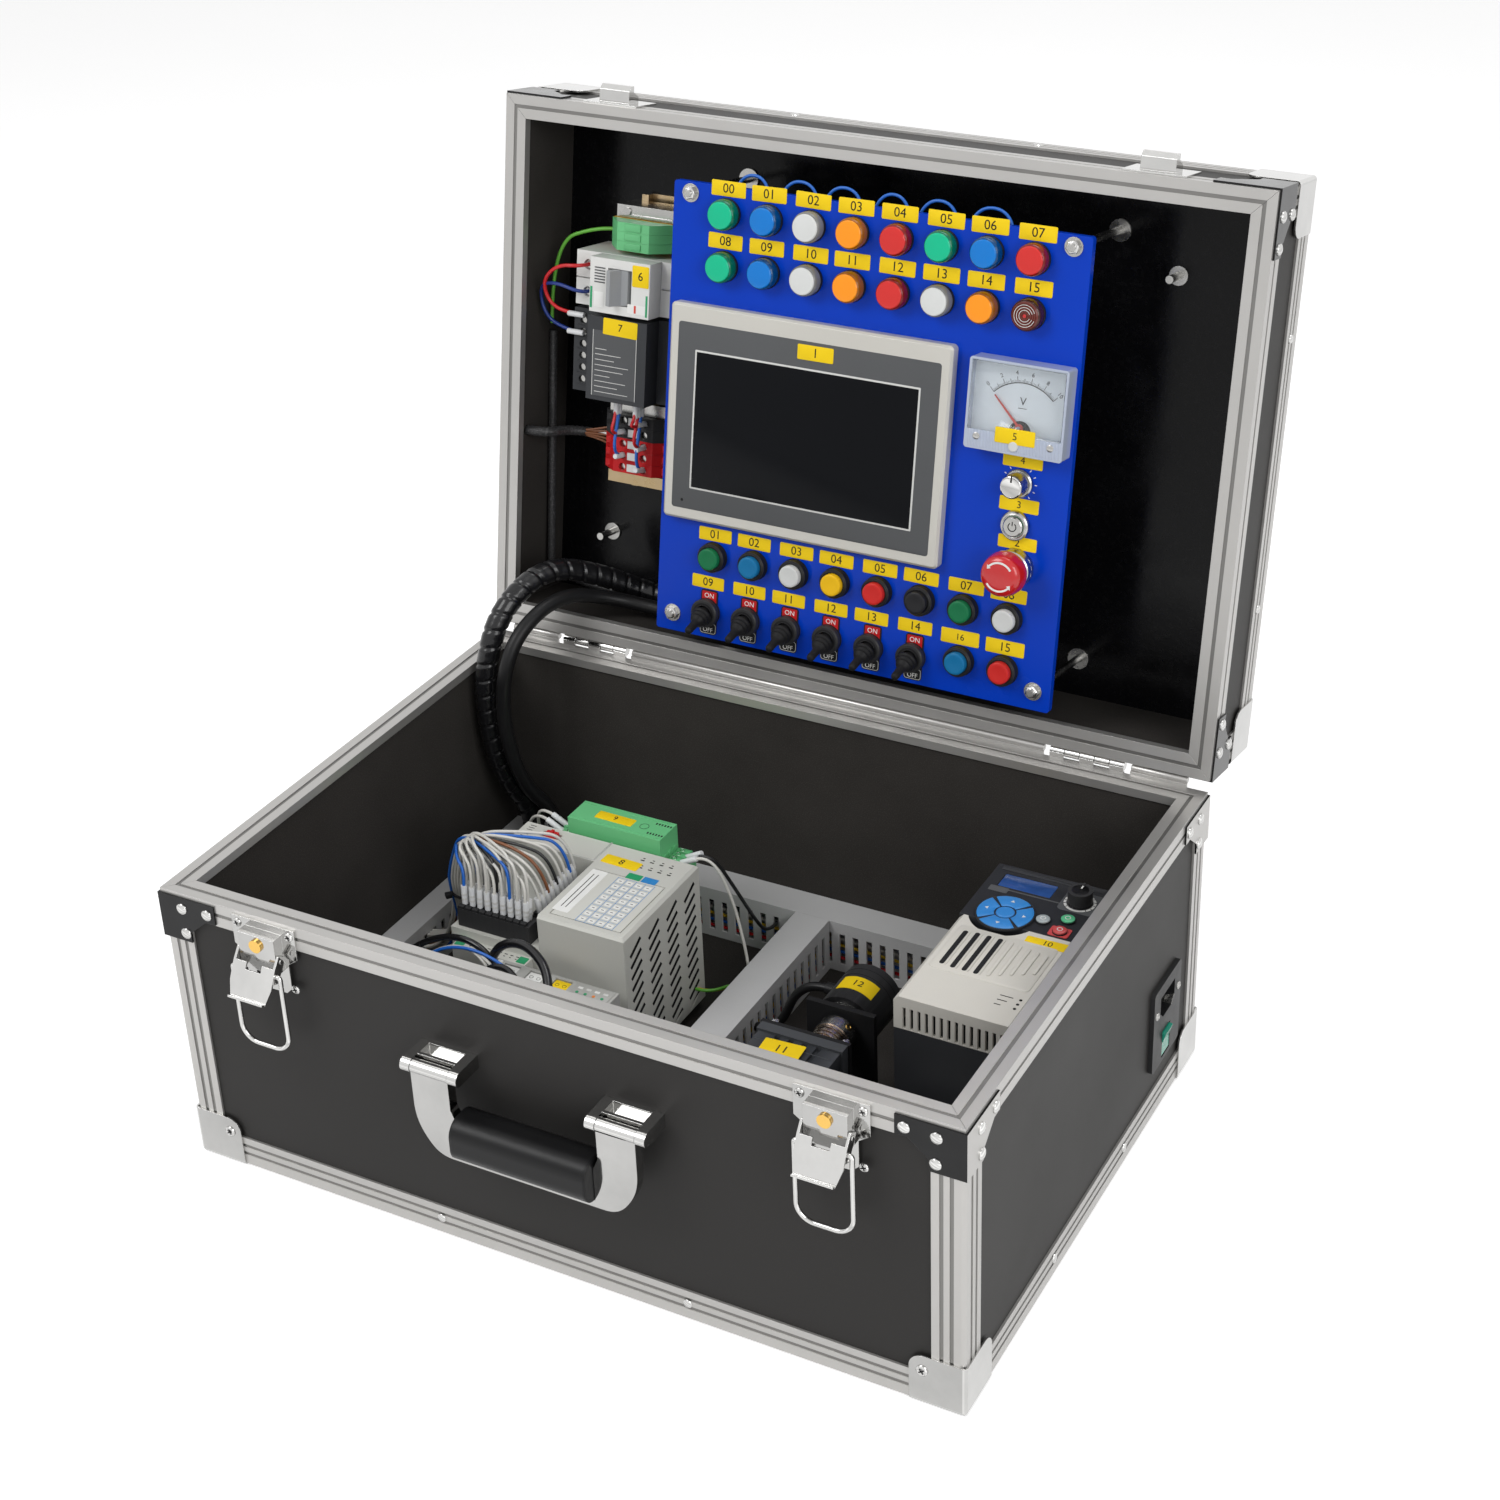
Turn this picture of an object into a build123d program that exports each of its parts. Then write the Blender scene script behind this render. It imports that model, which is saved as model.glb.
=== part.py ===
"""A suitcase trainer for a programmable logic controller, with its lid standing open.

The case is boarded and edged in aluminium. Its base holds the controller, its modules, a drive
with its motor line and the wiring ducts. Its lid holds a blue panel of lamps, buttons and switches.
Millimetres. X runs to the right, Y to the back and Z up, from the middle of the case's underside.
"""

import os
from math import cos, radians, sin, tan

from build123d import *

os.makedirs("parts", exist_ok=True)

# Case
case_width = 520
case_depth = 360
base_height = 196
lid_height = 72.5
board = 9
lining = 3
cap_wall = 1.2
edge_wall = 1.5
edge_face = 20
rim_face = 16
rim_lip = 6
flute = 2.4
flute_depth = 0.5
seat = 0.1
post_round = 3

# Corner hardware
cap_size = 33
cap_ear_round = 9
cap_round = 2.4
bracket_reach = 40
bracket_drop = 33
bracket_arm = 15
bracket_top = 2.5
bracket_step = 7

# Hinges
lid_open_angle = 100.5
lid_gap = 0.6
lid_board = 5
lid_lining = 2.2
hinge_out = 3.2
hinge_up = 3.2
hinge_x = 180
hinge_width = 50
knuckle_radius = 3
knuckle_gap = 0.3
pin_radius = 1.5
pin_clearance = 0.05
leaf_thick = 1.5
leaf_drop = 27

# Latches, one each side of the handle
latch_x = 184
latch_plate_width = 45
latch_plate_height = 46
latch_plate_thick = 1.5
housing_width = 26
housing_height = 24
housing_out = 7.5
lever_pivot_up = 174
lever_pivot_in = 2.5
lever_rest_angle = 28
lever_side = 1.5
lever_length = 27
bail_pin_drop = 9
bail_length = 53
wire_radius = 1.5
lock_radius = 4.2
lock_up = 182.5
keeper_width = 40
keeper_height = 26

# Carrying handle
handle_x = 61
handle_up = 139
handle_pivot_out = 18.5
bracket_width = 38
handle_bracket_height = 9
ear_width = 6.2
ear_radius = 4.6
arm_thick = 7
arm_gap = 0.3
grip_half = 44.5
grip_height = 28
grip_depth = 26
spine_height = 5
handle_drop = 57

# Mains inlet in the right wall
inlet_y = 119
inlet_z = 68
inlet_width = 46
inlet_height = 60
inlet_flange = 3
inlet_body_depth = 32
socket_width = 24.4
socket_height = 16.6
socket_depth = 17
rocker_width = 13
rocker_height = 19
rocker_tilt = 8

# Wiring ducts
duct_height = 37
duct_wall = 1.5
duct_cover = 2
back_duct_width = 24
mid_duct_width = 25
left_duct_width = 18
mid_duct_x = 3
slot_pitch = 10
slot_width = 4.2
slot_height = 24
slot_sill = 6

# Controller and the modules on its rail
rail_width = 35
rail_height = 7.5
rail_x = -105
plc_length = 130
plc_width = 94
plc_height = 103
plc_front_y = -24
plc_recess_length = 67
plc_recess_width = 60
plc_recess_drop = 30
vent_columns = 4
vent_rows = 11
module_pitch = 15
module_count = 8
module_length = 88
module_height = 70
converter_length = 96
converter_thick = 22.5
converter_height = 114
plug_count = 2
mode_slot_length = 10
mode_slider_travel = 2.5

# Drive and its keypad
drive_width = 73
drive_length = 149
drive_height = 157
drive_wall_gap = 11.5
drive_front_y = -61.5
cover_length = 90
cover_skin = 22
cover_rise = 6
ring_radius = 17.5
drive_knob_radius = 7.5

# Motor, coupling and encoder on one shaft
shaft_x = 93
shaft_z = 80
shaft_radius = 4
motor_face = 57
motor_length = 96
motor_front_y = -47
coupling_radius = 12.5
coupling_ribs = 6
coupling_rib_pitch = 3.6
encoder_radius = 20
encoder_length = 38
encoder_front_y = 12

# Supply unit in the front right corner
unit_width = 76
unit_length = 84
unit_height = 92

# Lid furniture, in the lid's own x, up and out directions
panel_width = 281
panel_height = 296
panel_x = 17
panel_u = 174.2
panel_out = 10
panel_thick = 5
panel_round = 2
panel_sides = (panel_x - panel_width / 2, panel_x + panel_width / 2)
stud_x = (panel_sides[0] + 12, panel_sides[1] - 11.5)
stud_u = (38.5, 315.2)
spare_studs = [(186, 292.7), (-205, 59.2)]
stud_radius = 2.5
stud_clearance = 0.3
nut_radius = 4.6
nut_height = 3.2

# Lamps, buttons and switches on the panel
lamp_inset_left = 38.2
lamp_inset_right = 34.9
lamp_x = panel_sides[0] + lamp_inset_left
device_pitch = (panel_width - lamp_inset_left - lamp_inset_right) / 7
lamp_rows = (305.2, 272.3)
lamp_radius = 10
lamp_height = 10.5
barrel_length = 24
button_x = lamp_x + 2.7
button_u = 82.3
button_bezel_radius = 9.6
button_bezel_height = 6
button_cap_radius = 7.2
button_cap_height = 3.4
button_travel = 3
button_clearance = 0.35
lower_button_u = 48.3
toggle_x = lamp_x - 0.3
toggle_u = 44
toggle_boot_radius = 9.5
toggle_boot_height = 11
toggle_ball_radius = 4.2
toggle_lever_length = 21
toggle_pivot_out = 4.5
toggle_rest_angle = 18
right_column_x = panel_sides[1] - 32.5
estop_u = 115.5
estop_collar_radius = 12
estop_collar_height = 9
estop_stem_radius = 6
estop_head_radius = 14
estop_head_height = 13
estop_travel = 4
power_u = 142
power_radius = 9.2
power_cap_radius = 6.4
power_height = 4
power_travel = 2
knob_u = 168.6
knob_radius = 7.4
knob_height = 11
knob_base = 3
knob_shaft_radius = 3

# Operator screen
hmi_u = 176.5
hmi_height = 141
hmi_out = 8
hmi_round = 3
screen_width = 154
screen_height = 87.5
screen_u = 173
hmi_back_depth = 34

# Panel meter
meter_x = panel_sides[1] - 34
meter_u = 216.5
meter_width = 64
hmi_left = panel_sides[0] + 5.5
hmi_meter_gap = 13.5
hmi_width = meter_x - meter_width / 2 - hmi_meter_gap - hmi_left
hmi_x = hmi_left + hmi_width / 2
meter_height = 56
meter_out = 13
meter_wall = 1.6
meter_dial_out = 4
needle_length = 24
needle_tail = 3.2
needle_span = 90

# Lid rail and the devices on it
lid_rail_x = -170
lid_rail_low = 97
lid_rail_high = 297
breaker_u = 226.5
breaker_width = 36
breaker_length = 84
breaker_nose = 45
breaker_depth = 55
breaker_tilt = 20
supply_u = 167
supply_width = 56
supply_length = 90
supply_depth = 52
earth_u = 266
earth_pitch = 6.2
earth_count = 3
terminal_u = 114
terminal_pitch = 8
terminal_count = 5

# Wires
wire_size = 1.1
ferrule_size = 1.5
fan_wires = 9
cable_radius = 3
harness_radius = 7.5
harness_pair_radius = 5
harness_thin_radius = 2.6
harness_up = 22.5
harness_out = -50
pair_up = 21
pair_out = -31
saddle_x = -114
thin_up = 16.8
thin_out = -59
wire_pitch = 3.2

# Worked out from the sizes above
angle = radians(lid_open_angle)
half_width = case_width / 2
half_depth = case_depth / 2
board_face = edge_wall
inner_x = half_width - edge_wall - board - lining
inner_y = half_depth - edge_wall - board - lining
rim_web = edge_wall + board + lining + edge_wall
board_low = cap_wall + edge_wall
floor_z = board_low + board + seat + lining
hinge_y = half_depth + hinge_out
hinge_z = base_height + hinge_up
lid_y = hinge_y - cos(angle) * hinge_out + sin(angle) * (lid_gap - hinge_up)
lid_z = hinge_z + sin(angle) * hinge_out + cos(angle) * (lid_gap - hinge_up)
panel_face = panel_out + panel_thick
panel_top = panel_u + panel_height / 2

# The lid's plane: x to the right, y up the open lid, normal out of its mouth
lid_plane = Plane(origin=(0, lid_y, lid_z), x_dir=(1, 0, 0), z_dir=(0, -sin(angle), -cos(angle)))
front_plane = Plane.XZ.offset(half_depth)
right_plane = Plane.YZ.offset(half_width)
low = (Align.MIN, Align.MIN, Align.MIN)
stand = (Align.CENTER, Align.CENTER, Align.MIN)
hang = (Align.CENTER, Align.CENTER, Align.MAX)


def slab(x, y, z, mode=Mode.ADD):
    """A block between the two ends given on each axis."""
    with Locations((x[0], y[0], z[0])):
        return Box(x[1] - x[0], y[1] - y[0], z[1] - z[0], align=low, mode=mode)


def lid_side(x):
    """The plane across the lid at x: its x runs up the lid, its y out of the mouth."""
    origin = lid_plane.from_local_coords(Vector(x, 0, 0))
    return Plane(origin=origin, x_dir=lid_plane.y_dir, z_dir=lid_plane.x_dir)


def lid_end(u):
    """The plane across the lid at height u: its x runs right, its y out of the mouth."""
    origin = lid_plane.from_local_coords(Vector(0, u, 0))
    return Plane(origin=origin, x_dir=lid_plane.x_dir, z_dir=-lid_plane.y_dir)


def finish(name, label):
    """Name a finished piece and write its file."""
    name.part.label = label
    export_step(name.part, f"parts/{label}.step")


def round_route(points):
    """Arcs as large as the runs on each side of a bend allow."""
    points = [Vector(*p) for p in points]
    radii = []
    for before, here, after in zip(points, points[1:], points[2:]):
        turn = (here - before).get_angle(after - here)
        run = min((here - before).length, (after - here).length)
        radii.append(0.45 * run / tan(radians(turn) / 2))
    return radii


def cable(points, radius, sides=0, label=""):
    """A cable along its route: straight runs joined by tangent arcs."""
    radii = round_route(points)
    with BuildPart() as piece:
        with BuildLine() as route:
            FilletPolyline(*points, radius=radii)
        path = route.wire()
        with BuildSketch(Plane(origin=path @ 0, z_dir=path % 0)) as section:
            if sides:
                RegularPolygon(radius, sides)
            else:
                Circle(radius)
        sweep()
    if label:
        share = piece.part.volume / (section.sketch.area * path.length)
        print(label, "radii", [round(r) for r in radii], "length", round(path.length))
        print(label, "volume over section times length", round(share, 3))
    return piece.part


# Edging: lengths of profile with mitred ends, their outer corner on the length's own axis


def rim_profile():
    """The rim's section, inwards and up: an outer flange, a web and an inner lip."""
    with BuildSketch() as section:
        Rectangle(rim_web, edge_wall, align=(Align.MIN, Align.MAX))
        Rectangle(edge_wall, rim_face, align=(Align.MIN, Align.MAX))
        with Locations((rim_web - edge_wall, 0)):
            Rectangle(edge_wall, rim_lip, align=(Align.MIN, Align.MAX))
        with Locations((0, -rim_face / 2)):
            Rectangle(flute_depth, flute, align=(Align.MIN, Align.CENTER), mode=Mode.SUBTRACT)
        with Locations((rim_web / 2, 0)):
            Rectangle(flute, flute_depth, align=(Align.CENTER, Align.MAX), mode=Mode.SUBTRACT)
    return section.sketch


def foot_profile():
    """The closed edge's section, inwards and up: a web below and a fluted flange above."""
    with BuildSketch() as section:
        Rectangle(rim_web, edge_wall, align=(Align.MIN, Align.MIN))
        Rectangle(edge_wall, edge_face, align=(Align.MIN, Align.MIN))
        with Locations((0, edge_face * 0.4), (0, edge_face * 0.7)):
            Rectangle(flute_depth, flute, align=(Align.MIN, Align.CENTER), mode=Mode.SUBTRACT)
    return section.sketch


def mitred_bar(profile, length):
    with BuildPart() as bar:
        with BuildSketch(Plane.YZ.offset(-length / 2)):
            add(profile)
        extrude(amount=length)
        for end in (-1, 1):
            cut = Plane(origin=(end * (length / 2 - seat), 0, 0), z_dir=(end, 1, 0))
            split(bisect_by=cut, keep=Keep.BOTTOM)
    return bar.part


def frame_ring(profile):
    """Four mitred bars round the case, outer faces on the case's outer size."""
    long_bar = Pos(0, -half_depth, 0) * mitred_bar(profile, case_width)
    short_bar = Pos(0, -half_width, 0) * mitred_bar(profile, case_depth)
    return [
        long_bar,
        Rot(0, 0, 90) * short_bar,
        Rot(0, 0, 180) * long_bar,
        Rot(0, 0, 270) * short_bar,
    ]


def at_corners(piece):
    """A piece drawn in the front left corner, repeated in all four."""
    x, y = half_width, half_depth
    spots = [(-x, -y, 0), (x, -y, 90), (x, y, 180), (-x, y, 270)]
    return [Pos(sx, sy, 0) * Rot(0, 0, turn) * piece for sx, sy, turn in spots]


def corner_post(height):
    """A corner profile with a rounded outer edge and a flute on each face."""
    flutes = [edge_face * 0.4, edge_face * 0.7]
    with BuildPart() as post:
        with BuildSketch() as outline:
            Rectangle(edge_face, edge_face, align=(Align.MIN, Align.MIN))
            outer = outline.vertices().sort_by(lambda v: v.X + v.Y)[0]
            fillet(outer, post_round)
            with Locations((edge_wall, edge_wall)):
                Rectangle(edge_face, edge_face, align=low[:2], mode=Mode.SUBTRACT)
            with Locations([(place, 0) for place in flutes]):
                Rectangle(flute, flute_depth * 2, mode=Mode.SUBTRACT)
            with Locations([(0, place) for place in flutes]):
                Rectangle(flute_depth * 2, flute, mode=Mode.SUBTRACT)
        extrude(amount=height)
    return post.part


def corner_cap():
    """A pressed three-sided corner, open inwards, each ear's far corner rounded."""
    with BuildPart() as cap:
        slab((-cap_wall, cap_size), (-cap_wall, cap_size), (-cap_wall, cap_size))
        at_corner = [e for e in cap.edges() if sum(tuple(e.center())) < cap_size / 2]
        fillet(at_corner, cap_round)
        slab((0, cap_size), (0, cap_size), (0, cap_size), Mode.SUBTRACT)
        for axis in (Axis.X, Axis.Y, Axis.Z):
            across = [e for e in cap.edges().filter_by(axis) if e.length < cap_wall * 1.5]
            fillet(across, cap_ear_round)
    return cap.part


def corner_bracket():
    """A bent plate round the rim's corner, its arms along the rim and down the post."""
    outline = [
        (-cap_wall, -bracket_top),
        (bracket_reach, -bracket_top),
        (bracket_reach, -bracket_arm),
        (bracket_reach - bracket_step, -bracket_arm),
        (edge_face, -bracket_drop + bracket_step),
        (edge_face, -bracket_drop),
        (-cap_wall, -bracket_drop),
    ]
    with BuildPart() as bracket:
        with BuildSketch(Plane.XZ):
            Polygon(*outline, align=None)
        extrude(amount=cap_wall)
        mirror(about=Plane(origin=(0, 0, 0), z_dir=(1, -1, 0)))
    return bracket.part


# The two halves of the case, each drawn with its rim at z = 0 and its floor below


def case_boards(depth, floor_board, floor_lining):
    """Floor and wall boards with their lining sheets, a seat gap between neighbours."""
    x, y = half_width - board_face, half_depth - board_face
    bottom = -depth + board_low
    floor = bottom + floor_board + seat
    top = -edge_wall
    with BuildPart() as boards:
        slab((-x, x), (-y, y), (bottom, bottom + floor_board))
        inner = (x - board - seat, y - board - seat)
        slab((-inner[0], inner[0]), (-inner[1], inner[1]), (floor, floor + floor_lining))
        for side in (-1, 1):
            with Locations((0, side * (y - board / 2), floor)):
                Box(2 * x, board, top - floor, align=stand)
            with Locations((side * (x - board / 2), 0, floor)):
                Box(board, 2 * (y - board - seat), top - floor, align=stand)
            above = floor + floor_lining + seat
            with Locations((0, side * (inner_y + lining / 2), above)):
                Box(2 * inner[0], lining - 2 * seat, top - above, align=stand)
            with Locations((side * (inner_x + lining / 2), 0, above)):
                Box(lining - 2 * seat, 2 * (inner_y - seat), top - above, align=stand)
    return boards.part


def case_edging(depth):
    """The rim ring, the closed edge's ring and the four posts between them."""
    low_edge = -depth + cap_wall
    post = Pos(0, 0, low_edge + edge_face) * corner_post(
        depth - cap_wall - edge_face - rim_face
    )
    with BuildPart() as edging:
        add(frame_ring(rim_profile()))
        add([Pos(0, 0, low_edge) * bar for bar in frame_ring(foot_profile())])
        add(at_corners(post))
    return edging.part


def case_corners(depth):
    """A cap on each closed corner and a bent bracket on each rim corner."""
    with BuildPart() as corners:
        add(at_corners(Pos(0, 0, -depth + cap_wall) * corner_cap()))
        add(at_corners(corner_bracket()))
    return corners.part


def hinge_leaves(plane, own_first, along, up, bore):
    """Leaves and knuckles of one side. The plane's x and y run outwards and upwards."""
    pitch = hinge_width / 5
    reach = knuckle_radius + knuckle_gap
    with BuildPart() as leaves:
        for side in (-1, 1):
            start = side * hinge_x - hinge_width / 2
            with BuildSketch(plane.offset(start)):
                with Locations((along, up - leaf_drop)):
                    Rectangle(leaf_thick, leaf_drop - reach, align=(Align.MIN, Align.MIN))
            extrude(amount=hinge_width)
            for count in range(5):
                if (count % 2 == 0) != own_first:
                    continue
                with BuildSketch(plane.offset(start + count * pitch + knuckle_gap)):
                    with Locations((along, up - leaf_drop)):
                        Rectangle(leaf_thick, leaf_drop, align=(Align.MIN, Align.MIN))
                    with Locations((along + hinge_out, up)):
                        Circle(knuckle_radius)
                        if bore:
                            Circle(bore, mode=Mode.SUBTRACT)
                extrude(amount=pitch - 2 * knuckle_gap)
            if not bore:
                with BuildSketch(plane.offset(start + knuckle_gap)):
                    with Locations((along + hinge_out, up)):
                        Circle(pin_radius)
                extrude(amount=hinge_width - 2 * knuckle_gap)
    return leaves.part


base_place = Pos(0, 0, base_height)
lid_place = lid_plane.location * Pos(0, half_depth, 0)

# Boards of the base, with the hole for the mains inlet in the right wall
inlet_hole = (inlet_width - 8, inlet_height - 8)
with BuildPart() as base_panels:
    add(base_place * case_boards(base_height, board, lining))
    with Locations((inner_x + board / 2, inlet_y, inlet_z)):
        Box(board * 4, inlet_hole[0], inlet_hole[1], mode=Mode.SUBTRACT)

with BuildPart() as base_edging:
    add(base_place * case_edging(base_height))

# Corner hardware of the base, its hinge leaves with the pins and the rail on the floor
hinge_plane = Plane.YZ
with BuildPart() as base_hardware:
    add(base_place * case_corners(base_height))
    add(hinge_leaves(hinge_plane, True, half_depth, hinge_z, 0))
    with BuildSketch(Plane.XZ.offset(inner_y - 6)):
        with Locations((rail_x, floor_z)):
            Rectangle(rail_width - 8, 1, align=(Align.CENTER, Align.MIN))
            for side in (-1, 1):
                with Locations((side * (rail_width - 9) / 2, 0)):
                    Rectangle(1, rail_height, align=(Align.CENTER, Align.MIN))
                with Locations((side * (rail_width / 2 - 2.5), rail_height)):
                    Rectangle(5, 1, align=(Align.CENTER, Align.MAX))
    extrude(amount=-270)

with BuildPart() as lid_panels:
    add(lid_place * case_boards(lid_height, lid_board, lid_lining))

with BuildPart() as lid_edging:
    add(lid_place * case_edging(lid_height))


def keeper():
    """The catch plate on the lid's front, its raised middle taking the wire bail."""
    with BuildPart() as plate:
        slab((-keeper_width / 2, keeper_width / 2), (0, 1.2), (-2.5 - keeper_height, -2.5))
        with BuildSketch(Plane.YZ):
            with Locations((1, -9)):
                Polygon((0, 0), (8, 0), (11, -3), (11, -6), (7, -6), (4, -11.8), (0, -11.8),
                        align=None)
        extrude(amount=11, both=True)
    return plate.part


# Corner hardware of the lid, hinge leaves and catch plates
lid_hinge_plane = Plane(
    origin=lid_plane.origin, x_dir=-lid_plane.y_dir, z_dir=-lid_plane.x_dir
)
with BuildPart() as lid_hardware:
    add(lid_place * case_corners(lid_height))
    add(hinge_leaves(lid_hinge_plane, False, 0, lid_gap - hinge_up, pin_radius + pin_clearance))
    for side in (-1, 1):
        add(lid_plane.location * Pos(side * latch_x, case_depth, 0) * keeper())


# Latches, handle brackets and their moving parts on the front wall


def across(centre, width, y, z, radius, mode=Mode.ADD):
    """A round bar along X."""
    with Locations((centre, y, z)):
        return Cylinder(radius, width, rotation=(0, 90, 0), mode=mode)


lever_y = -half_depth - leaf_thick - housing_out + lever_pivot_in
front_y = -half_depth - latch_plate_thick


def latch_base(x):
    """The fixed plate, the block the lever turns on, its pin and the brass lock."""
    half = latch_plate_width / 2
    top = base_height - 2.2
    low_edge = top - latch_plate_height
    outline = [
        (x - half, top), (x + half, top), (x + half, top - 20), (x + half - 7, top - 25),
        (x + half - 7, low_edge + 4), (x + half - 11, low_edge), (x - half + 11, low_edge),
        (x - half + 7, low_edge + 4), (x - half + 7, top - 25), (x - half, top - 20),
    ]
    with BuildPart() as fitting:
        with BuildSketch(front_plane):
            Polygon(*outline, align=None)
        extrude(amount=latch_plate_thick)
        slab(
            (x - housing_width / 2, x + housing_width / 2),
            (front_y - housing_out, front_y),
            (base_height - 7 - housing_height, base_height - 7),
        )
        across(x, housing_width + 4.4, lever_y, lever_pivot_up, pin_radius)
        with BuildSketch(Plane.XZ.offset(-front_y + housing_out)):
            with Locations((x, lock_up)):
                Circle(lock_radius)
        extrude(amount=1.6)
    return fitting.part


def handle_bracket(x):
    """A block on the wall with two ears and the pin of the handle's arm between them."""
    wall = -half_depth + board_face
    pivot_y = wall - handle_pivot_out
    half = bracket_width / 2
    with BuildPart() as fitting:
        slab((x - half, x + half), (wall - 13.6, wall), (handle_up - 4.6, handle_up + 4.6))
        slab((x - 12.4, x + 12.4), (wall - 11.5, wall - 2.5), (handle_up, handle_up + 5),
             Mode.SUBTRACT)
        for side in (-1, 1):
            middle = x + side * (half - ear_width / 2)
            across(middle, ear_width, pivot_y, handle_up, ear_radius)
            slab((middle - ear_width / 2, middle + ear_width / 2), (pivot_y, wall - 5),
                 (handle_up - ear_radius, handle_up + ear_radius))
        across(x, bracket_width - 2, pivot_y, handle_up, pin_radius)
    return fitting.part


with BuildPart() as front_fittings:
    add([latch_base(-latch_x), latch_base(latch_x)])
    add([handle_bracket(-handle_x), handle_bracket(handle_x)])


def latch_lever(x):
    """The pull lever, drawn flush with the plate and then swung out to its rest."""
    inner = housing_width / 2 + 0.3
    outer = inner + lever_side
    cheek = [(3, 3), (-3.5, 3.2), (-4.7, -4.5), (-4.7, -14), (1.2, -13), (3, -3)]
    with BuildPart() as lever:
        for start in (-outer, inner):
            with BuildSketch(Plane.YZ.offset(start)):
                Polygon(*cheek, align=None)
                Circle(pin_radius + pin_clearance, mode=Mode.SUBTRACT)
                with Locations((-1.5, -bail_pin_drop)):
                    Circle(wire_radius + pin_clearance, mode=Mode.SUBTRACT)
            extrude(amount=lever_side)
        with BuildSketch(Plane.XZ.offset(3.5)) as plate:
            tip = outer - 2.5
            Polygon((-outer, -4.5), (outer, -4.5), (outer, -17), (tip, -lever_length),
                    (-tip, -lever_length), (-outer, -17), align=None)
            with Locations((0, -4.5)):
                Rectangle(11, 9, mode=Mode.SUBTRACT)
        extrude(amount=1.2)
        slab((-tip, tip), (-7.4, -3.5), (-lever_length, 1.3 - lever_length))
    return Pos(x, lever_y, lever_pivot_up) * Rot(-lever_rest_angle, 0, 0) * lever.part


rest = radians(lever_rest_angle)
bail_y = lever_y - 1.5 * cos(rest) - bail_pin_drop * sin(rest)
bail_z = lever_pivot_up + 1.5 * sin(rest) - bail_pin_drop * cos(rest)


def latch_bail(x):
    """The wire bail hanging from the lever's two holes."""
    inner = housing_width / 2 + 0.4
    outer = 17
    route = [
        (x - inner, bail_y, bail_z), (x - outer, bail_y, bail_z),
        (x - outer, bail_y, bail_z - bail_length), (x + outer, bail_y, bail_z - bail_length),
        (x + outer, bail_y, bail_z), (x + inner, bail_y, bail_z),
    ]
    with BuildPart() as bail:
        with BuildLine() as line:
            FilletPolyline(*route, radius=[1.7, 11, 11, 1.7])
        with BuildSketch(Plane(origin=line.line @ 0, z_dir=line.line % 0)):
            Circle(wire_radius)
        sweep()
    return bail.part


with BuildPart() as latch_lever_left:
    add(latch_lever(-latch_x))
with BuildPart() as latch_lever_right:
    add(latch_lever(latch_x))
with BuildPart() as latch_bail_left:
    add(latch_bail(-latch_x))
with BuildPart() as latch_bail_right:
    add(latch_bail(latch_x))

# Carrying handle: a bright bow with an arm on each bracket and a padded grip
handle_y = -half_depth + board_face - handle_pivot_out
spine_z = handle_up - handle_drop
arm_inner = handle_x - bracket_width / 2 + ear_width + arm_gap
arm_outer = handle_x + bracket_width / 2 - ear_width - arm_gap
with BuildPart() as carry_handle:
    with BuildSketch(Plane.XZ.offset(-handle_y)) as bow:
        with BuildLine():
            start = Line((0, spine_z), (50, spine_z))
            curve = Spline(
                (50, spine_z), (66, spine_z + 9), (arm_outer, handle_up - 24),
                tangents=[(1, 0), (0, 1)],
            )
            side_line = Line(curve @ 1, (arm_outer, handle_up))
            top_line = Line(side_line @ 1, (arm_inner, handle_up))
            in_line = Line(top_line @ 1, (arm_inner, handle_up - 22))
            slope = Line(in_line @ 1, (grip_half + 0.4, handle_up - 30))
            down = Line(slope @ 1, (grip_half + 0.4, spine_z + spine_height))
            back = Line(down @ 1, (0, spine_z + spine_height))
            Line(back @ 1, (0, spine_z))
        make_face()
        mirror(about=Plane.YZ)
    extrude(amount=arm_thick / 2, both=True)
    for side in (-1, 1):
        across(side * handle_x, arm_outer - arm_inner, handle_y, handle_up, ear_radius - 0.3)
        across(side * handle_x, bracket_width, handle_y, handle_up, pin_radius + pin_clearance,
               Mode.SUBTRACT)
    grip_z = spine_z + spine_height + seat
    with BuildSketch(Plane.YZ.offset(-grip_half)):
        with Locations((handle_y, grip_z)):
            RectangleRounded(grip_depth, grip_height, 10, align=(Align.CENTER, Align.MIN))
    extrude(amount=2 * grip_half)


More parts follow.
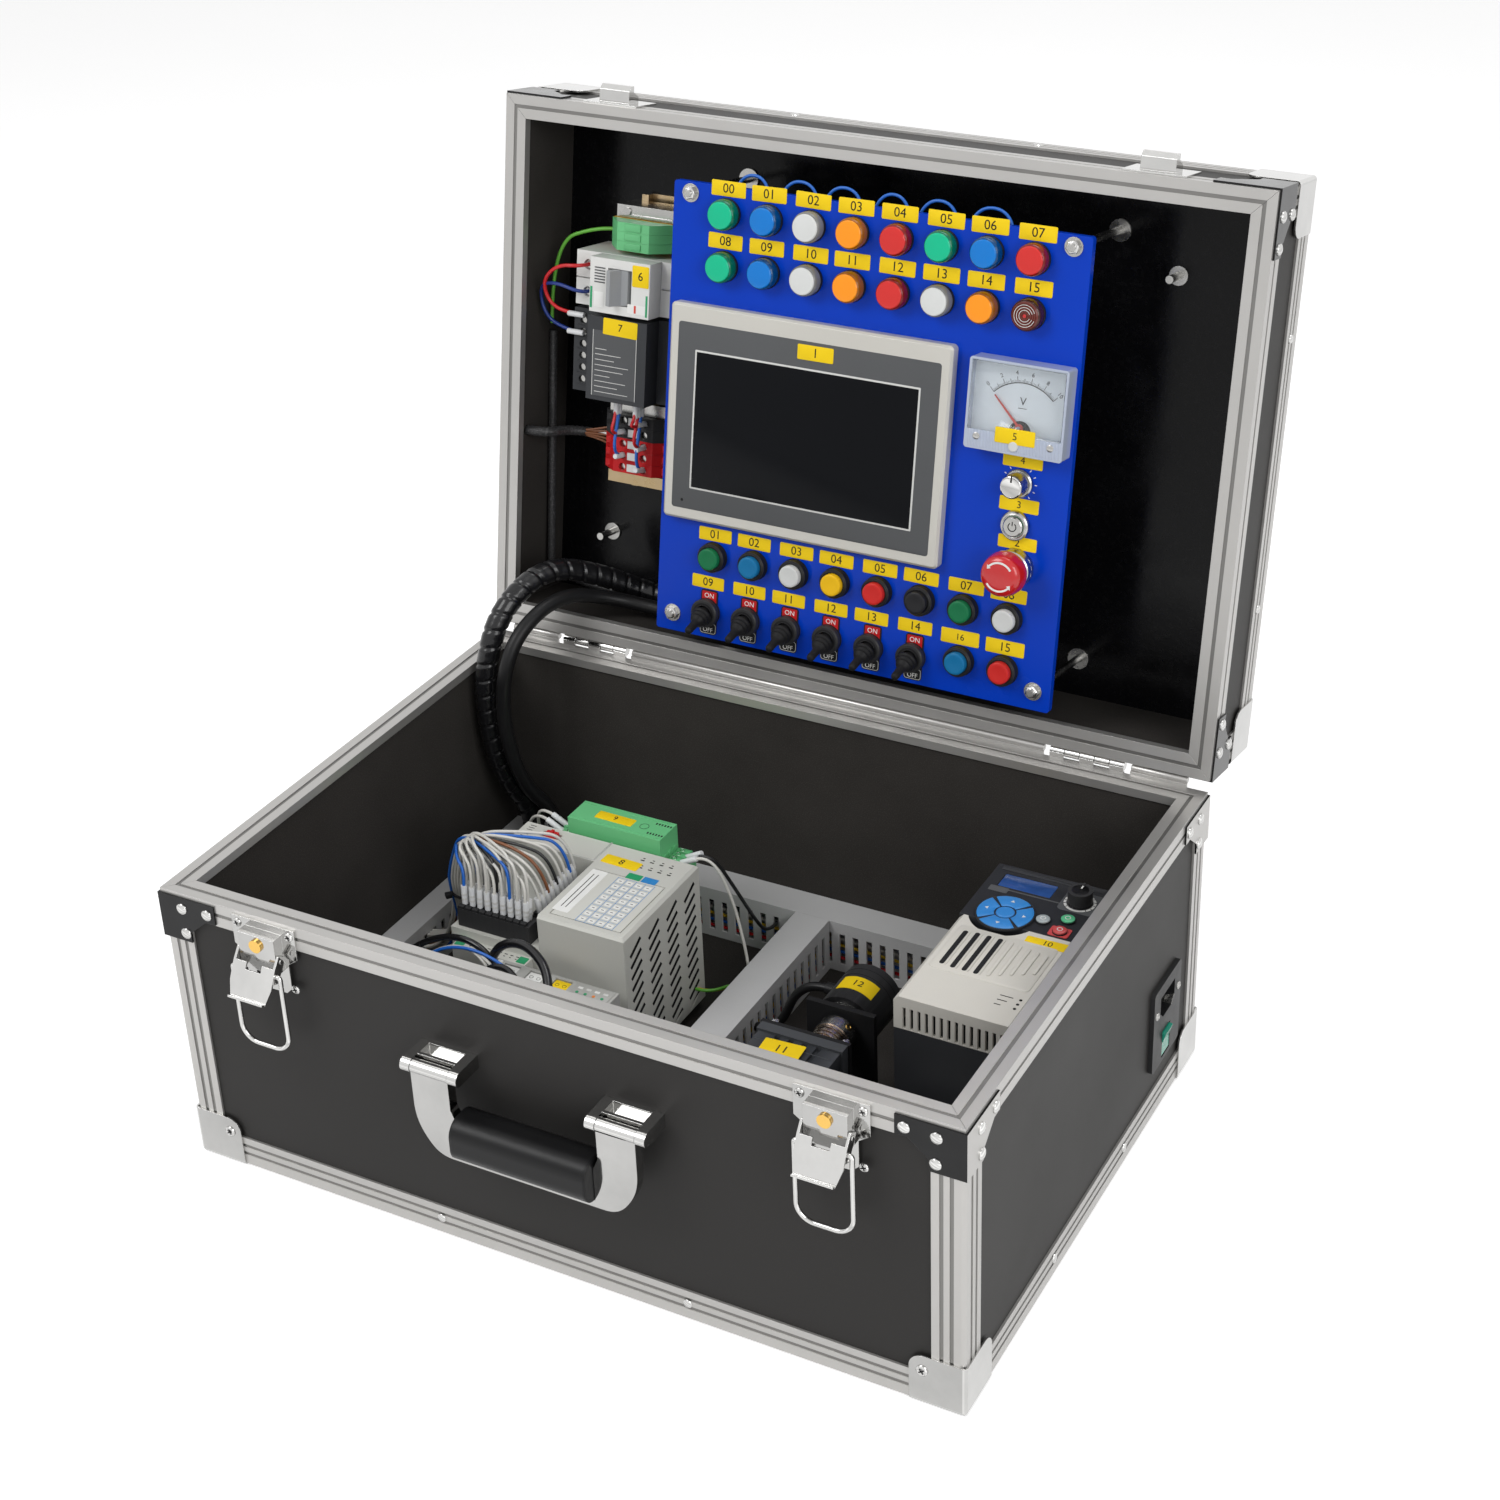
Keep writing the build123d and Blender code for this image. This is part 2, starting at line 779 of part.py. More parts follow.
# Mains inlet in the right wall: a socket above a rocker switch
socket_z = inlet_z + 13
rocker_z = inlet_z - 17
rocker_x = inner_x + lining + board + 0.5
inlet_face = half_width - board_face + inlet_flange
with BuildPart() as mains_inlet:
    with BuildSketch(right_plane.offset(-board_face)):
        with Locations((inlet_y, inlet_z)):
            RectangleRounded(inlet_width, inlet_height, 3)
    extrude(amount=inlet_flange)
    slab(
        (inlet_face - inlet_flange - inlet_body_depth, inlet_face - inlet_flange),
        (inlet_y - inlet_hole[0] / 2, inlet_y + inlet_hole[0] / 2),
        (inlet_z - inlet_hole[1] / 2, inlet_z + inlet_hole[1] / 2),
    )
    with BuildSketch(Plane.YZ.offset(inlet_face)):
        with Locations((inlet_y, socket_z)):
            wide, tall = socket_width / 2, socket_height / 2
            Polygon((-wide, tall), (wide, tall), (wide, -tall + 5), (wide - 5, -tall),
                    (5 - wide, -tall), (-wide, -tall + 5), align=None)
        with Locations((inlet_y, rocker_z)):
            Rectangle(rocker_width + 0.6, rocker_height + 1)
    extrude(amount=-9.5, mode=Mode.SUBTRACT)
    with BuildSketch(Plane.YZ.offset(inlet_face - 9.5)):
        with Locations((inlet_y, socket_z)):
            Polygon((-wide, tall), (wide, tall), (wide, -tall + 5), (wide - 5, -tall),
                    (5 - wide, -tall), (-wide, -tall + 5), align=None)
    extrude(amount=9.5 - socket_depth, mode=Mode.SUBTRACT)
    for across_y, above in ((-7, -2), (0, 3), (7, -2)):
        with Locations((inlet_face - socket_depth, inlet_y + across_y, socket_z + above)):
            Box(11, 2, 4, align=(Align.MIN, Align.CENTER, Align.CENTER))
    for lug in (-7, 0, 7):
        with Locations((inlet_face - inlet_flange - inlet_body_depth, inlet_y + lug, inlet_z)):
            Box(8, 4, 0.8, align=(Align.MAX, Align.CENTER, Align.CENTER))
    with Locations((rocker_x, inlet_y, rocker_z)):
        Cylinder(1, rocker_width + 3, rotation=(90, 0, 0))

tips = rocker_height / 2 - 0.9
with BuildPart() as rocker:
    with BuildSketch(Plane.XZ):
        Polygon((-3, -tips), (3.5, -tips), (2.2, 0), (3.5, tips), (-3, tips), align=None)
        Circle(1 + pin_clearance, mode=Mode.SUBTRACT)
    extrude(amount=rocker_width / 2, both=True)
with BuildPart() as inlet_rocker:
    add(Pos(rocker_x, inlet_y, rocker_z) * Rot(0, rocker_tilt, 0) * rocker.part)


# Wiring ducts: slotted walls with a flat cover


def duct(length, width, slotted):
    """A duct along X from the origin, slots in the walls named by their side of the axis."""
    count = int((length - 6) / slot_pitch)
    with BuildPart() as channel:
        with BuildSketch(Plane.YZ):
            Rectangle(width, duct_height, align=(Align.CENTER, Align.MIN))
            with Locations((0, duct_wall)):
                Rectangle(width - 2 * duct_wall, duct_height, align=(Align.CENTER, Align.MIN),
                          mode=Mode.SUBTRACT)
        extrude(amount=length)
        for side in slotted:
            wall = side * (width / 2 - duct_wall / 2)
            with BuildSketch(Plane.XZ.offset(-wall)):
                with Locations((length / 2, slot_sill + slot_height / 2)):
                    with GridLocations(slot_pitch, 1, count, 1):
                        Rectangle(slot_width, slot_height)
            extrude(amount=duct_wall, both=True, mode=Mode.SUBTRACT)
        slab((0, length), (-width / 2, width / 2), (duct_height + seat / 2,
             duct_height + duct_cover - seat))
    return channel.part


back_duct_y = inner_y - back_duct_width / 2 - seat
back_duct_front = back_duct_y - back_duct_width / 2
left_duct_x = -inner_x + left_duct_width / 2 + seat
with BuildPart() as wiring_ducts:
    add(Pos(-inner_x + seat, back_duct_y, floor_z) * duct(2 * (inner_x - seat),
        back_duct_width, (-1,)))
    add(Pos(mid_duct_x, -inner_y + 1, floor_z) * Rot(0, 0, 90) * duct(
        back_duct_front + inner_y - 1 - seat, mid_duct_width, (-1, 1)))
    add(Pos(left_duct_x, -inner_y + 1, floor_z) * Rot(0, 0, 90) * duct(
        back_duct_front + inner_y - 1 - seat, left_duct_width, (-1,)))


# Controller on its rail
rail_top = floor_z + rail_height
plc_x = (rail_x - plc_length / 2, rail_x + plc_length / 2)
plc_y = (plc_front_y, plc_front_y + plc_width)
plc_top = rail_top + plc_height
recess_x = plc_x[0] + plc_recess_length
recess_y = plc_front_y + plc_recess_width + 9
mode_x, mode_y = -144.7, 59.8
with BuildPart() as plc_body:
    slab(plc_x, plc_y, (rail_top, plc_top))
    top_edges = plc_body.edges().group_by(Axis.Z)[-1]
    chamfer(top_edges, 2)
    slab((plc_x[0] - 1, recess_x), (plc_y[0] - 1, recess_y),
         (plc_top - plc_recess_drop + 3, plc_top + 1), Mode.SUBTRACT)
    slab((plc_x[0] + 6, recess_x - 6), (plc_y[0] - 9, plc_y[0]), (rail_top, plc_top - 34))
    with BuildSketch(Plane.YZ.offset(plc_x[1])):
        with Locations(((plc_y[0] + plc_y[1]) / 2, (rail_top + plc_top) / 2 - 4)):
            with GridLocations(plc_width / vent_columns - 1, 8.4, vent_columns, vent_rows):
                Rectangle(15, 3, rotation=30)
    extrude(amount=-2.5, mode=Mode.SUBTRACT)
    with Locations((mode_x, mode_y, plc_top)):
        Box(mode_slot_length + 4, 6, 4, align=hang, mode=Mode.SUBTRACT)
    with BuildSketch(Plane.XY.offset(plc_top)):
        with Locations(((recess_x + plc_x[1]) / 2, plc_y[0] + 34)):
            Rectangle(52, 56)
            Rectangle(50.4, 54.4, mode=Mode.SUBTRACT)
    extrude(amount=-0.8, mode=Mode.SUBTRACT)

with BuildPart() as plc_mode_switch:
    with Locations((mode_x, mode_y, plc_top - 3.9)):
        Box(mode_slot_length + 4 - 2 * mode_slider_travel - 0.4, 5.6, 5.6, align=stand)
        with Locations((0, 0, 5.6)):
            Box(2, 5.6, 1.2, align=stand)

# Slices of the input and output modules, the green converter and the black plugs
with BuildPart() as rail_modules:
    for count in range(module_count):
        front = plc_y[0] - 10 - (count + 1) * module_pitch
        slab((rail_x - 22, rail_x - 22 + module_length), (front, front + module_pitch - seat),
             (rail_top, rail_top + module_height))
        for step in range(3):
            with Locations((rail_x - 10 + step * 19, front + module_pitch / 2,
                            rail_top + module_height)):
                Box(12, module_pitch - 5, 3, align=hang, mode=Mode.SUBTRACT)
    with BuildSketch(Plane.XZ.offset(-plc_y[1] - 3 - seat)):
        with Locations((rail_x, rail_top)):
            half, tall = converter_length / 2, converter_height - 3
            Polygon((-half, 0), (half, 0), (half, tall - 22), (half - 13, tall - 18),
                    (half - 13, tall), (13 - half, tall), (13 - half, tall - 18),
                    (-half, tall - 22), align=None)
    extrude(amount=-converter_thick)
    ledge = plc_top - plc_recess_drop + 3 + seat
    slab((plc_x[0] + 4, plc_x[0] + 58), (plc_y[0] + 3, plc_y[0] + 15), (ledge, ledge + 13))
    slab((recess_x - 15, recess_x - 3), (plc_y[0] + 16, recess_y - 4), (ledge, ledge + 13))


# Drive with its keypad
drive_x = (inner_x - drive_wall_gap - drive_width, inner_x - drive_wall_gap)
drive_y = (drive_front_y, drive_front_y + drive_length)
drive_top = floor_z + drive_height
cover_y = (drive_y[0] - seat, drive_y[0] + cover_length)
ring_x, ring_y = drive_x[0] + 25, drive_y[0] + 99.5
knob_spot = (ring_x + 35, ring_y + 29.8)
key_spots = [(ring_x + 22.6, ring_y + 3.2), (ring_x + 35.7, ring_y + 9.4),
             (ring_x + 35.8, ring_y - 3.4)]
with BuildPart() as inverter_body:
    slab(drive_x, drive_y, (floor_z + 24, drive_top))
    slab(drive_x, (drive_y[0] + 45, drive_y[1]), (floor_z, floor_z + 24 - seat))
    slab((drive_x[0] - 1, drive_x[1] + 1), (drive_y[0] - 1, cover_y[1]),
         (drive_top - cover_skin, drive_top + 1), Mode.SUBTRACT)
    with BuildSketch(Plane.YZ.offset(drive_x[0])):
        with Locations((drive_y[0] + drive_length / 2 + 10, floor_z + 50)):
            with GridLocations(9, 1, 12, 1):
                Rectangle(4, 42)
    extrude(amount=3, mode=Mode.SUBTRACT)
    with BuildSketch(Plane.XY.offset(drive_top)):
        with Locations((ring_x, ring_y + 34)):
            Rectangle(34, 14)
    extrude(amount=-0.8, mode=Mode.SUBTRACT)
    with BuildSketch(Plane.XY.offset(drive_top)):
        with Locations((ring_x, ring_y)):
            Circle(ring_radius)
        with Locations(*key_spots):
            Circle(4.4)
    extrude(amount=1.4)
    with BuildSketch(Plane.XY.offset(drive_top)):
        with Locations(knob_spot):
            Circle(2 + pin_clearance)
    extrude(amount=-8, mode=Mode.SUBTRACT)

with BuildPart() as inverter_cover:
    slab(drive_x, cover_y, (drive_top - cover_skin + seat, drive_top))
    top_edges = inverter_cover.edges().filter_by(Axis.Y).group_by(Axis.Z)[-1]
    chamfer(top_edges, 3)
    slab((drive_x[0] + 2, drive_x[1] - 2), (cover_y[0] + 2, cover_y[1] + 1),
         (drive_top - cover_skin - 1, drive_top - 3), Mode.SUBTRACT)
    with BuildSketch(Plane.XY.offset(drive_top)):
        with Locations((ring_x, ring_y)):
            Circle(ring_radius + 4)
        with Locations(((drive_x[0] + drive_x[1]) / 2, cover_y[0] + 58)):
            with GridLocations(1, 6, 1, 7):
                Rectangle(drive_width - 22, 2.2)
    extrude(amount=-4, mode=Mode.SUBTRACT)
    with BuildSketch(Plane.XZ.offset(-cover_y[0])):
        with Locations(((drive_x[0] + drive_x[1]) / 2, drive_top - 14)):
            with GridLocations(4.6, 1, 14, 1):
                Rectangle(2, 14)
    extrude(amount=-3, mode=Mode.SUBTRACT)

with BuildPart() as inverter_knob:
    with Locations((*knob_spot, drive_top + 0.4)):
        Cylinder(drive_knob_radius, 9, align=stand)
        with Locations((0, drive_knob_radius - 1.6, 9)):
            Box(1.4, 3, 0.6, align=stand)
        Cylinder(2, 7, align=hang)


# Motor, coupling and encoder in one line, each end on an upright plate


def along_y(radius, start, end, mode=Mode.ADD):
    """A round bar on the shaft's axis."""
    with Locations((shaft_x, start, shaft_z)):
        return Cylinder(radius, end - start, rotation=(-90, 0, 0), align=stand, mode=mode)


def upright(start, end, width, top, foot):
    """A bracket plate across the shaft with a foot turned along the floor."""
    slab((shaft_x - width / 2, shaft_x + width / 2), (start, end), (floor_z, top))
    slab((shaft_x - width / 2, shaft_x + width / 2), (min(start, foot), max(end, foot)),
         (floor_z, floor_z + 3))


motor_back_y = motor_front_y - motor_length
flange_front_y = motor_front_y + 7
with BuildPart() as motor_body:
    half = motor_face / 2
    with BuildSketch(Plane.XZ.offset(-motor_front_y + seat)):
        with Locations((shaft_x, shaft_z)):
            Rectangle(motor_face - 3, motor_face - 3)
            for turn in range(4):
                with Locations(Rot(0, 0, 90 * turn) * Pos(0, half - 2.6, 0)):
                    with GridLocations(9, 1, 4, 1):
                        Rectangle(3.4, 2.4, mode=Mode.SUBTRACT)
    extrude(amount=motor_length - 14)
    slab((shaft_x - half, shaft_x + half), (motor_back_y, motor_back_y + 14 - seat),
         (shaft_z - half, shaft_z + half))
    slab((shaft_x - half, shaft_x + half), (motor_front_y, flange_front_y),
         (shaft_z - half, shaft_z + half))
    upright(flange_front_y + seat, flange_front_y + 3, motor_face + 2, shaft_z + half,
            flange_front_y - 40)
    along_y(13, flange_front_y - 1, flange_front_y + 4, Mode.SUBTRACT)
    along_y(shaft_radius + pin_clearance, motor_front_y - 6, flange_front_y + 1, Mode.SUBTRACT)

with BuildPart() as drive_line:
    start = flange_front_y + 4.5
    outline = [(motor_front_y - 5, 0), (motor_front_y - 5, shaft_radius), (start, shaft_radius),
               (start, coupling_radius), (start + 8, coupling_radius)]
    rib_y = start + 8
    for rib in range(coupling_ribs):
        outline += [(rib_y, coupling_radius - 2.6), (rib_y + 1.2, coupling_radius - 2.6)]
        outline += [(rib_y + 1.2, coupling_radius - 0.6)]
        rib_y += coupling_rib_pitch
        outline += [(rib_y, coupling_radius - 0.6)]
    outline += [(rib_y, coupling_radius), (rib_y + 9, coupling_radius),
                (rib_y + 9, shaft_radius), (encoder_front_y + 6, shaft_radius),
                (encoder_front_y + 6, 0)]
    with BuildSketch(Plane.YZ.offset(shaft_x)):
        Polygon(*[(y, shaft_z + r) for y, r in outline], align=None)
    revolve(axis=Axis((shaft_x, 0, shaft_z), (0, 1, 0)))

with BuildPart() as encoder_body:
    along_y(encoder_radius, encoder_front_y, encoder_front_y + encoder_length)
    along_y(encoder_radius - 4, encoder_front_y - 2, encoder_front_y)
    upright(encoder_front_y - 6, encoder_front_y - 2 - seat, 46, shaft_z + encoder_radius - 4,
            encoder_front_y + 24)
    along_y(shaft_radius + 3, encoder_front_y - 7, encoder_front_y - 2, Mode.SUBTRACT)
    along_y(shaft_radius + pin_clearance, encoder_front_y - 3, encoder_front_y + 7,
            Mode.SUBTRACT)
    with Locations((shaft_x - encoder_radius + 1, encoder_front_y + encoder_length - 9,
                    shaft_z)):
        Cylinder(4, 8, rotation=(0, -90, 0), align=stand)

# Supply unit for the motor, its terminals on top at the front
unit_x = (inner_x - 4 - unit_width, inner_x - 4)
unit_y = (-inner_y + 9, -inner_y + 9 + unit_length)
unit_top = floor_z + unit_height
with BuildPart() as motor_driver:
    slab(unit_x, unit_y, (floor_z, unit_top))
    slab((unit_x[0] + 30, unit_x[1] + 1), (unit_y[0] - 1, unit_y[0] + 26),
         (unit_top - 16, unit_top + 1), Mode.SUBTRACT)
    slab((unit_x[0] + 34, unit_x[1] - 4), (unit_y[0] + 4, unit_y[0] + 22),
         (unit_top - 16 + seat, unit_top - 5))
    with BuildSketch(Plane.XY.offset(unit_top)):
        with Locations(((unit_x[0] + unit_x[1]) / 2 + 8, unit_y[1] - 26)):
            with GridLocations(1, 7, 1, 5):
                Rectangle(46, 3)
    extrude(amount=-2, mode=Mode.SUBTRACT)
    with BuildSketch(Plane.YZ.offset(unit_x[0])):
        with Locations((unit_y[0] + unit_length / 2, floor_z + 40)):
            with GridLocations(8, 1, 8, 1):
                Rectangle(3.4, 46)
    extrude(amount=2.5, mode=Mode.SUBTRACT)


# Wires inside the base, each ending square on what it enters
plug_top = ledge + 13
wire_gap = 0.3
tie = (-196, 17, 96)
left_duct_face = left_duct_x + left_duct_width / 2 + wire_gap
mid_duct_faces = (mid_duct_x - mid_duct_width / 2 - wire_gap,
                  mid_duct_x + mid_duct_width / 2 + wire_gap)
fan = []
for count in range(fan_wires):
    row, column = divmod(count, 3)
    x = plc_x[0] + 8 + count * 46 / (fan_wires - 1)
    y = plc_y[0] + 9
    high = plug_top + 26 + 5 * (count % 3)
    duct_z = floor_z + 18 + wire_pitch * column
    fan.append(cable([
        (x, y, plug_top + wire_gap),
        (x, y + 2, high),
        (tie[0] + 10 + wire_pitch * column, tie[1] - 6 + wire_pitch * row, high + 2),
        (tie[0] + wire_pitch * column, tie[1] + wire_pitch * row, tie[2]),
        (left_duct_face + 14, tie[1] + 8 + wire_pitch * row, duct_z),
        (left_duct_face, tie[1] + 8 + wire_pitch * row, duct_z),
    ], wire_size, 6))

module_top = rail_top + module_height
loop_start = plc_y[0] - 10 - module_pitch / 2
loop_end = loop_start - 2 * module_pitch
shoulder = (rail_x + converter_length / 2 - 4, plc_y[1] + 3 + converter_thick / 2,
            rail_top + converter_height - 23.2)
gland_y = encoder_front_y + encoder_length - 9
unit_wire = (unit_x[0] + 40, unit_y[0] + 14, unit_top - 5 + wire_gap)
motor_side = shaft_x + motor_face / 2 + wire_gap
motor_wire_y = motor_back_y + 7
with BuildPart() as base_wiring:
    add(fan)
    add(cable([
        (rail_x - 10, loop_start, module_top - 3 + wire_gap),
        (rail_x - 10, loop_start, module_top + 20),
        (rail_x + 26, loop_start - 6, module_top + 26),
        (rail_x + 28, loop_end, module_top + 20),
        (rail_x + 28, loop_end, module_top - 3 + wire_gap),
    ], cable_radius, 8))
    add(cable([
        shoulder,
        (shoulder[0], shoulder[1], shoulder[2] + 18),
        (-36, shoulder[1] + 6, shoulder[2] + 2),
        (-24, shoulder[1] + 18, floor_z + 50),
        (-24, back_duct_front - 14, floor_z + 26),
        (-24, back_duct_front - wire_gap, floor_z + 26),
    ], wire_size, 6))
    for shift in (0, wire_pitch):
        add(cable([
            (plc_x[1] + wire_gap, plc_y[1] - 12 + shift, floor_z + 21),
            (plc_x[1] + 10, plc_y[1] - 12 + shift, floor_z + 21),
            (mid_duct_faces[0] - 10, plc_y[1] + 8 + shift, floor_z + 19),
            (mid_duct_faces[0], plc_y[1] + 8 + shift, floor_z + 19),
        ], wire_size, 6))
    add(cable([
        (shaft_x - encoder_radius - 7 - wire_gap, gland_y, shaft_z),
        (shaft_x - encoder_radius - 26, gland_y, shaft_z),
        (mid_duct_faces[1] + 16, gland_y - 3, floor_z + 22),
        (mid_duct_faces[1], gland_y - 3, floor_z + 22),
    ], cable_radius, 8))
    add(cable([
        unit_wire,
        (unit_wire[0], unit_wire[1], unit_top + 16),
        (unit_x[0] + 2, unit_wire[1] + 5, unit_top + 20),
        (unit_x[0] - 12, motor_wire_y, unit_top - 10),
        (unit_x[0] - 14, motor_wire_y, shaft_z - 20),
        (motor_side, motor_wire_y, shaft_z - 20),
    ], cable_radius, 8))


# Lid furniture, in the lid's x, up and out directions
lid_floor = -lid_height + board_low + lid_board + seat + lid_lining
lid_rail_top = lid_floor + rail_height
stud_places = [(x, u) for x in stud_x for u in stud_u]
with BuildPart(lid_plane) as control_panel:
    with BuildSketch(lid_plane.offset(panel_out)):
        with Locations((panel_x, panel_u)):
            RectangleRounded(panel_width, panel_height, panel_round)
        with Locations((hmi_x, hmi_u)):
            Rectangle(hmi_width - 14, hmi_height - 14, mode=Mode.SUBTRACT)
        with Locations(stud_places):
            Circle(stud_radius + stud_clearance, mode=Mode.SUBTRACT)
    extrude(amount=panel_thick)

with BuildPart(lid_plane) as lid_rail_and_studs:
    with Locations([(x, u, lid_floor) for x, u in stud_places]):
        Cylinder(stud_radius, panel_face + 5 - lid_floor, align=stand)
        Cylinder(7, 1.6, align=stand)
    for level in (panel_face, panel_out - nut_height):
        with BuildSketch(lid_plane.offset(level)):
            with Locations(stud_places):
                RegularPolygon(nut_radius, 6)
        extrude(amount=nut_height)
    with Locations([(x, u, lid_floor) for x, u in spare_studs]):
        Cylinder(stud_radius, 18, align=stand)
        Cylinder(6, 1.6, align=stand)
    with BuildSketch(lid_end(lid_rail_low)):
        with Locations((lid_rail_x, lid_floor)):
            Rectangle(rail_width - 8, 1, align=(Align.CENTER, Align.MIN))
            for side in (-1, 1):
                with Locations((side * (rail_width - 9) / 2, 0)):
                    Rectangle(1, rail_height, align=(Align.CENTER, Align.MIN))
                with Locations((side * (rail_width / 2 - 2.5), rail_height)):
                    Rectangle(5, 1, align=(Align.CENTER, Align.MAX))
    extrude(amount=lid_rail_low - lid_rail_high)
    with BuildSketch(lid_plane.offset(lid_floor)):
        with Locations((lid_rail_x, (lid_rail_low + lid_rail_high) / 2)):
            with GridLocations(1, 25, 1, 8):
                SlotOverall(15, 6, rotation=90)
    extrude(amount=3, mode=Mode.SUBTRACT)
    slab((saddle_x, saddle_x + 12), (rim_web - 1.2, 33), (lid_floor, harness_out + 27))
    for (u, w), bore in (((harness_up, harness_out), harness_radius),
                         ((pair_up, pair_out), harness_pair_radius)):
        with BuildSketch(lid_side(saddle_x - 1)):
            with Locations((u, w)):
                Circle(bore + seat)
        extrude(amount=14, mode=Mode.SUBTRACT)


# Breaker with its lever: a wide body low on the rail, a narrower nose and a toggle window
breaker_x = (lid_rail_x - breaker_length / 2, lid_rail_x + breaker_length / 2)
nose_x = (lid_rail_x - breaker_nose / 2, lid_rail_x + breaker_nose / 2)
breaker_top = lid_rail_top + breaker_depth
breaker_end = breaker_u + breaker_width
breaker_middle = breaker_u + breaker_width / 2
lever_half = breaker_width / 2 - 6.4
with BuildPart(lid_plane) as circuit_breaker:
    slab(breaker_x, (breaker_u, breaker_end), (lid_rail_top, lid_rail_top + 40))
    slab(nose_x, (breaker_u, breaker_end), (lid_rail_top, breaker_top))
    slab((lid_rail_x - 9, lid_rail_x + 9), (breaker_u + 6, breaker_end - 6),
         (breaker_top - 12, breaker_top + 1), Mode.SUBTRACT)
    for part_x in ((breaker_x[0] - 1, nose_x[0]), (nose_x[1], breaker_x[1] + 1)):
        slab(part_x, (breaker_middle - 0.4, breaker_middle + 0.4),
             (lid_rail_top + 38, lid_rail_top + 41), Mode.SUBTRACT)
    for end in (breaker_x[0] + 9, breaker_x[1] - 9):
        with Locations([(end, breaker_u + quarter * breaker_width, lid_rail_top + 40)
                        for quarter in (0.25, 0.75)]):
            Cylinder(3.4, 3, align=hang, mode=Mode.SUBTRACT)
    with Locations((lid_rail_x, breaker_middle, breaker_top - 5)):
        Cylinder(1.2, breaker_width - 11, rotation=(90, 0, 0))

with BuildPart() as lever:
    with BuildSketch(Plane.XZ):
        Polygon((-5.6, -4), (5.6, -4), (5.6, 1), (2.6, 4), (1.8, 13), (-1.8, 13), (-2.6, 4),
                (-5.6, 1), align=None)
        Circle(1.2 + pin_clearance, mode=Mode.SUBTRACT)
    extrude(amount=lever_half, both=True)
with BuildPart() as breaker_lever:
    add(lid_plane.location * Pos(lid_rail_x, breaker_middle, breaker_top - 5)
        * Rot(0, -breaker_tilt, 0) * lever.part)

supply_end = supply_u + supply_width
supply_x = (lid_rail_x - supply_length / 2, lid_rail_x + supply_length / 2)
supply_top = lid_rail_top + supply_depth
with BuildPart(lid_plane) as power_supply:
    slab(supply_x, (supply_u, supply_end), (lid_rail_top, supply_top - 16))
    slab((lid_rail_x - 25, lid_rail_x + 20), (supply_u, supply_end),
         (supply_top - 16, supply_top))
    for side in (-1, 1):
        with BuildSketch(lid_plane.offset(supply_top - 16)):
            with Locations((lid_rail_x + side * 36 - 2, (supply_u + supply_end) / 2)):
                with GridLocations(1, 8, 1, 6):
                    Circle(2.6)
        extrude(amount=-3, mode=Mode.SUBTRACT)
    with BuildSketch(lid_end(supply_u)):
        with Locations((lid_rail_x - 2, (lid_rail_top + supply_top) / 2)):
            with GridLocations(7, 1, 6, 1):
                Rectangle(2.6, 34)
    extrude(amount=-2, mode=Mode.SUBTRACT)

terminal_end = terminal_u + terminal_count * terminal_pitch
with BuildPart(lid_plane) as terminal_blocks:
    for count in range(terminal_count):
        start = terminal_u + count * terminal_pitch
        with BuildSketch(lid_end(start)):
            with Locations((lid_rail_x, lid_rail_top)):
                Polygon((-27, 0), (27, 0), (27, 20), (15, 30), (-15, 30), (-27, 20), align=None)
        extrude(amount=seat - terminal_pitch)
        with Locations([(lid_rail_x + side * 8, start + terminal_pitch / 2, lid_rail_top + 30)
                        for side in (-1, 1)]):
            Cylinder(2.6, 4, align=hang, mode=Mode.SUBTRACT)
    for start in (terminal_u - 9, terminal_end + 0.2, lid_rail_high - 12):
        slab((lid_rail_x - 22, lid_rail_x + 22), (start, start + 8),
             (lid_rail_top, lid_rail_top + 24))
    for count in range(earth_count):
        start = earth_u + count * earth_pitch
        with BuildSketch(lid_end(start)):
            with Locations((lid_rail_x, lid_rail_top)):
                Polygon((-24, 0), (24, 0), (24, 26), (12, 40), (-12, 40), (-24, 26), align=None)
        extrude(amount=seat - earth_pitch)

# Wires inside the lid, each ending square on what it enters
wall_x = -inner_x + wire_gap
terminal_face = lid_rail_x - 27 - wire_gap
terminal_out = lid_rail_top + 12
screw_x = breaker_x[0] + 9
screw_out = lid_rail_top + 37 + wire_gap
earth_middle = earth_u + earth_pitch * 1.5
panel_back = panel_out - wire_size
saddle_face = saddle_x - wire_gap
routes = [
    ([(wall_x, 135, -12), (-232, 135, -12), (-212, 132, terminal_out),
      (terminal_face, 132, terminal_out)], cable_radius),
    ([(wall_x + 2.6, 200, -38), (wall_x + 2.8, 120, -40), (wall_x + 5, 36, -40)],
     harness_thin_radius),
    ([(wall_x + 3, 30, -44), (-226, 19, -55), (-192, thin_up, thin_out),
      (saddle_face, thin_up, thin_out)], harness_thin_radius),
    ([(screw_x, breaker_u + 9, screw_out), (screw_x, breaker_u + 9, screw_out + 12),
      (-226, breaker_u + 2, -8), (-223, 160, -24), (-212, 148, terminal_out),
      (terminal_face, 148, terminal_out)], wire_size),
    ([(screw_x, breaker_u + 27, screw_out), (screw_x, breaker_u + 27, screw_out + 15),
      (-233, breaker_u + 14, -8), (-229, 158, -24), (-214, 142, terminal_out + 4),
      (terminal_face, 142, terminal_out + 4)], wire_size),
    ([(lid_rail_x - 24 - wire_gap, earth_middle, lid_rail_top + 20),
      (-208, earth_middle, lid_rail_top + 20), (-240, 262, -28), (-242, 206, -34)],
     wire_size),
]
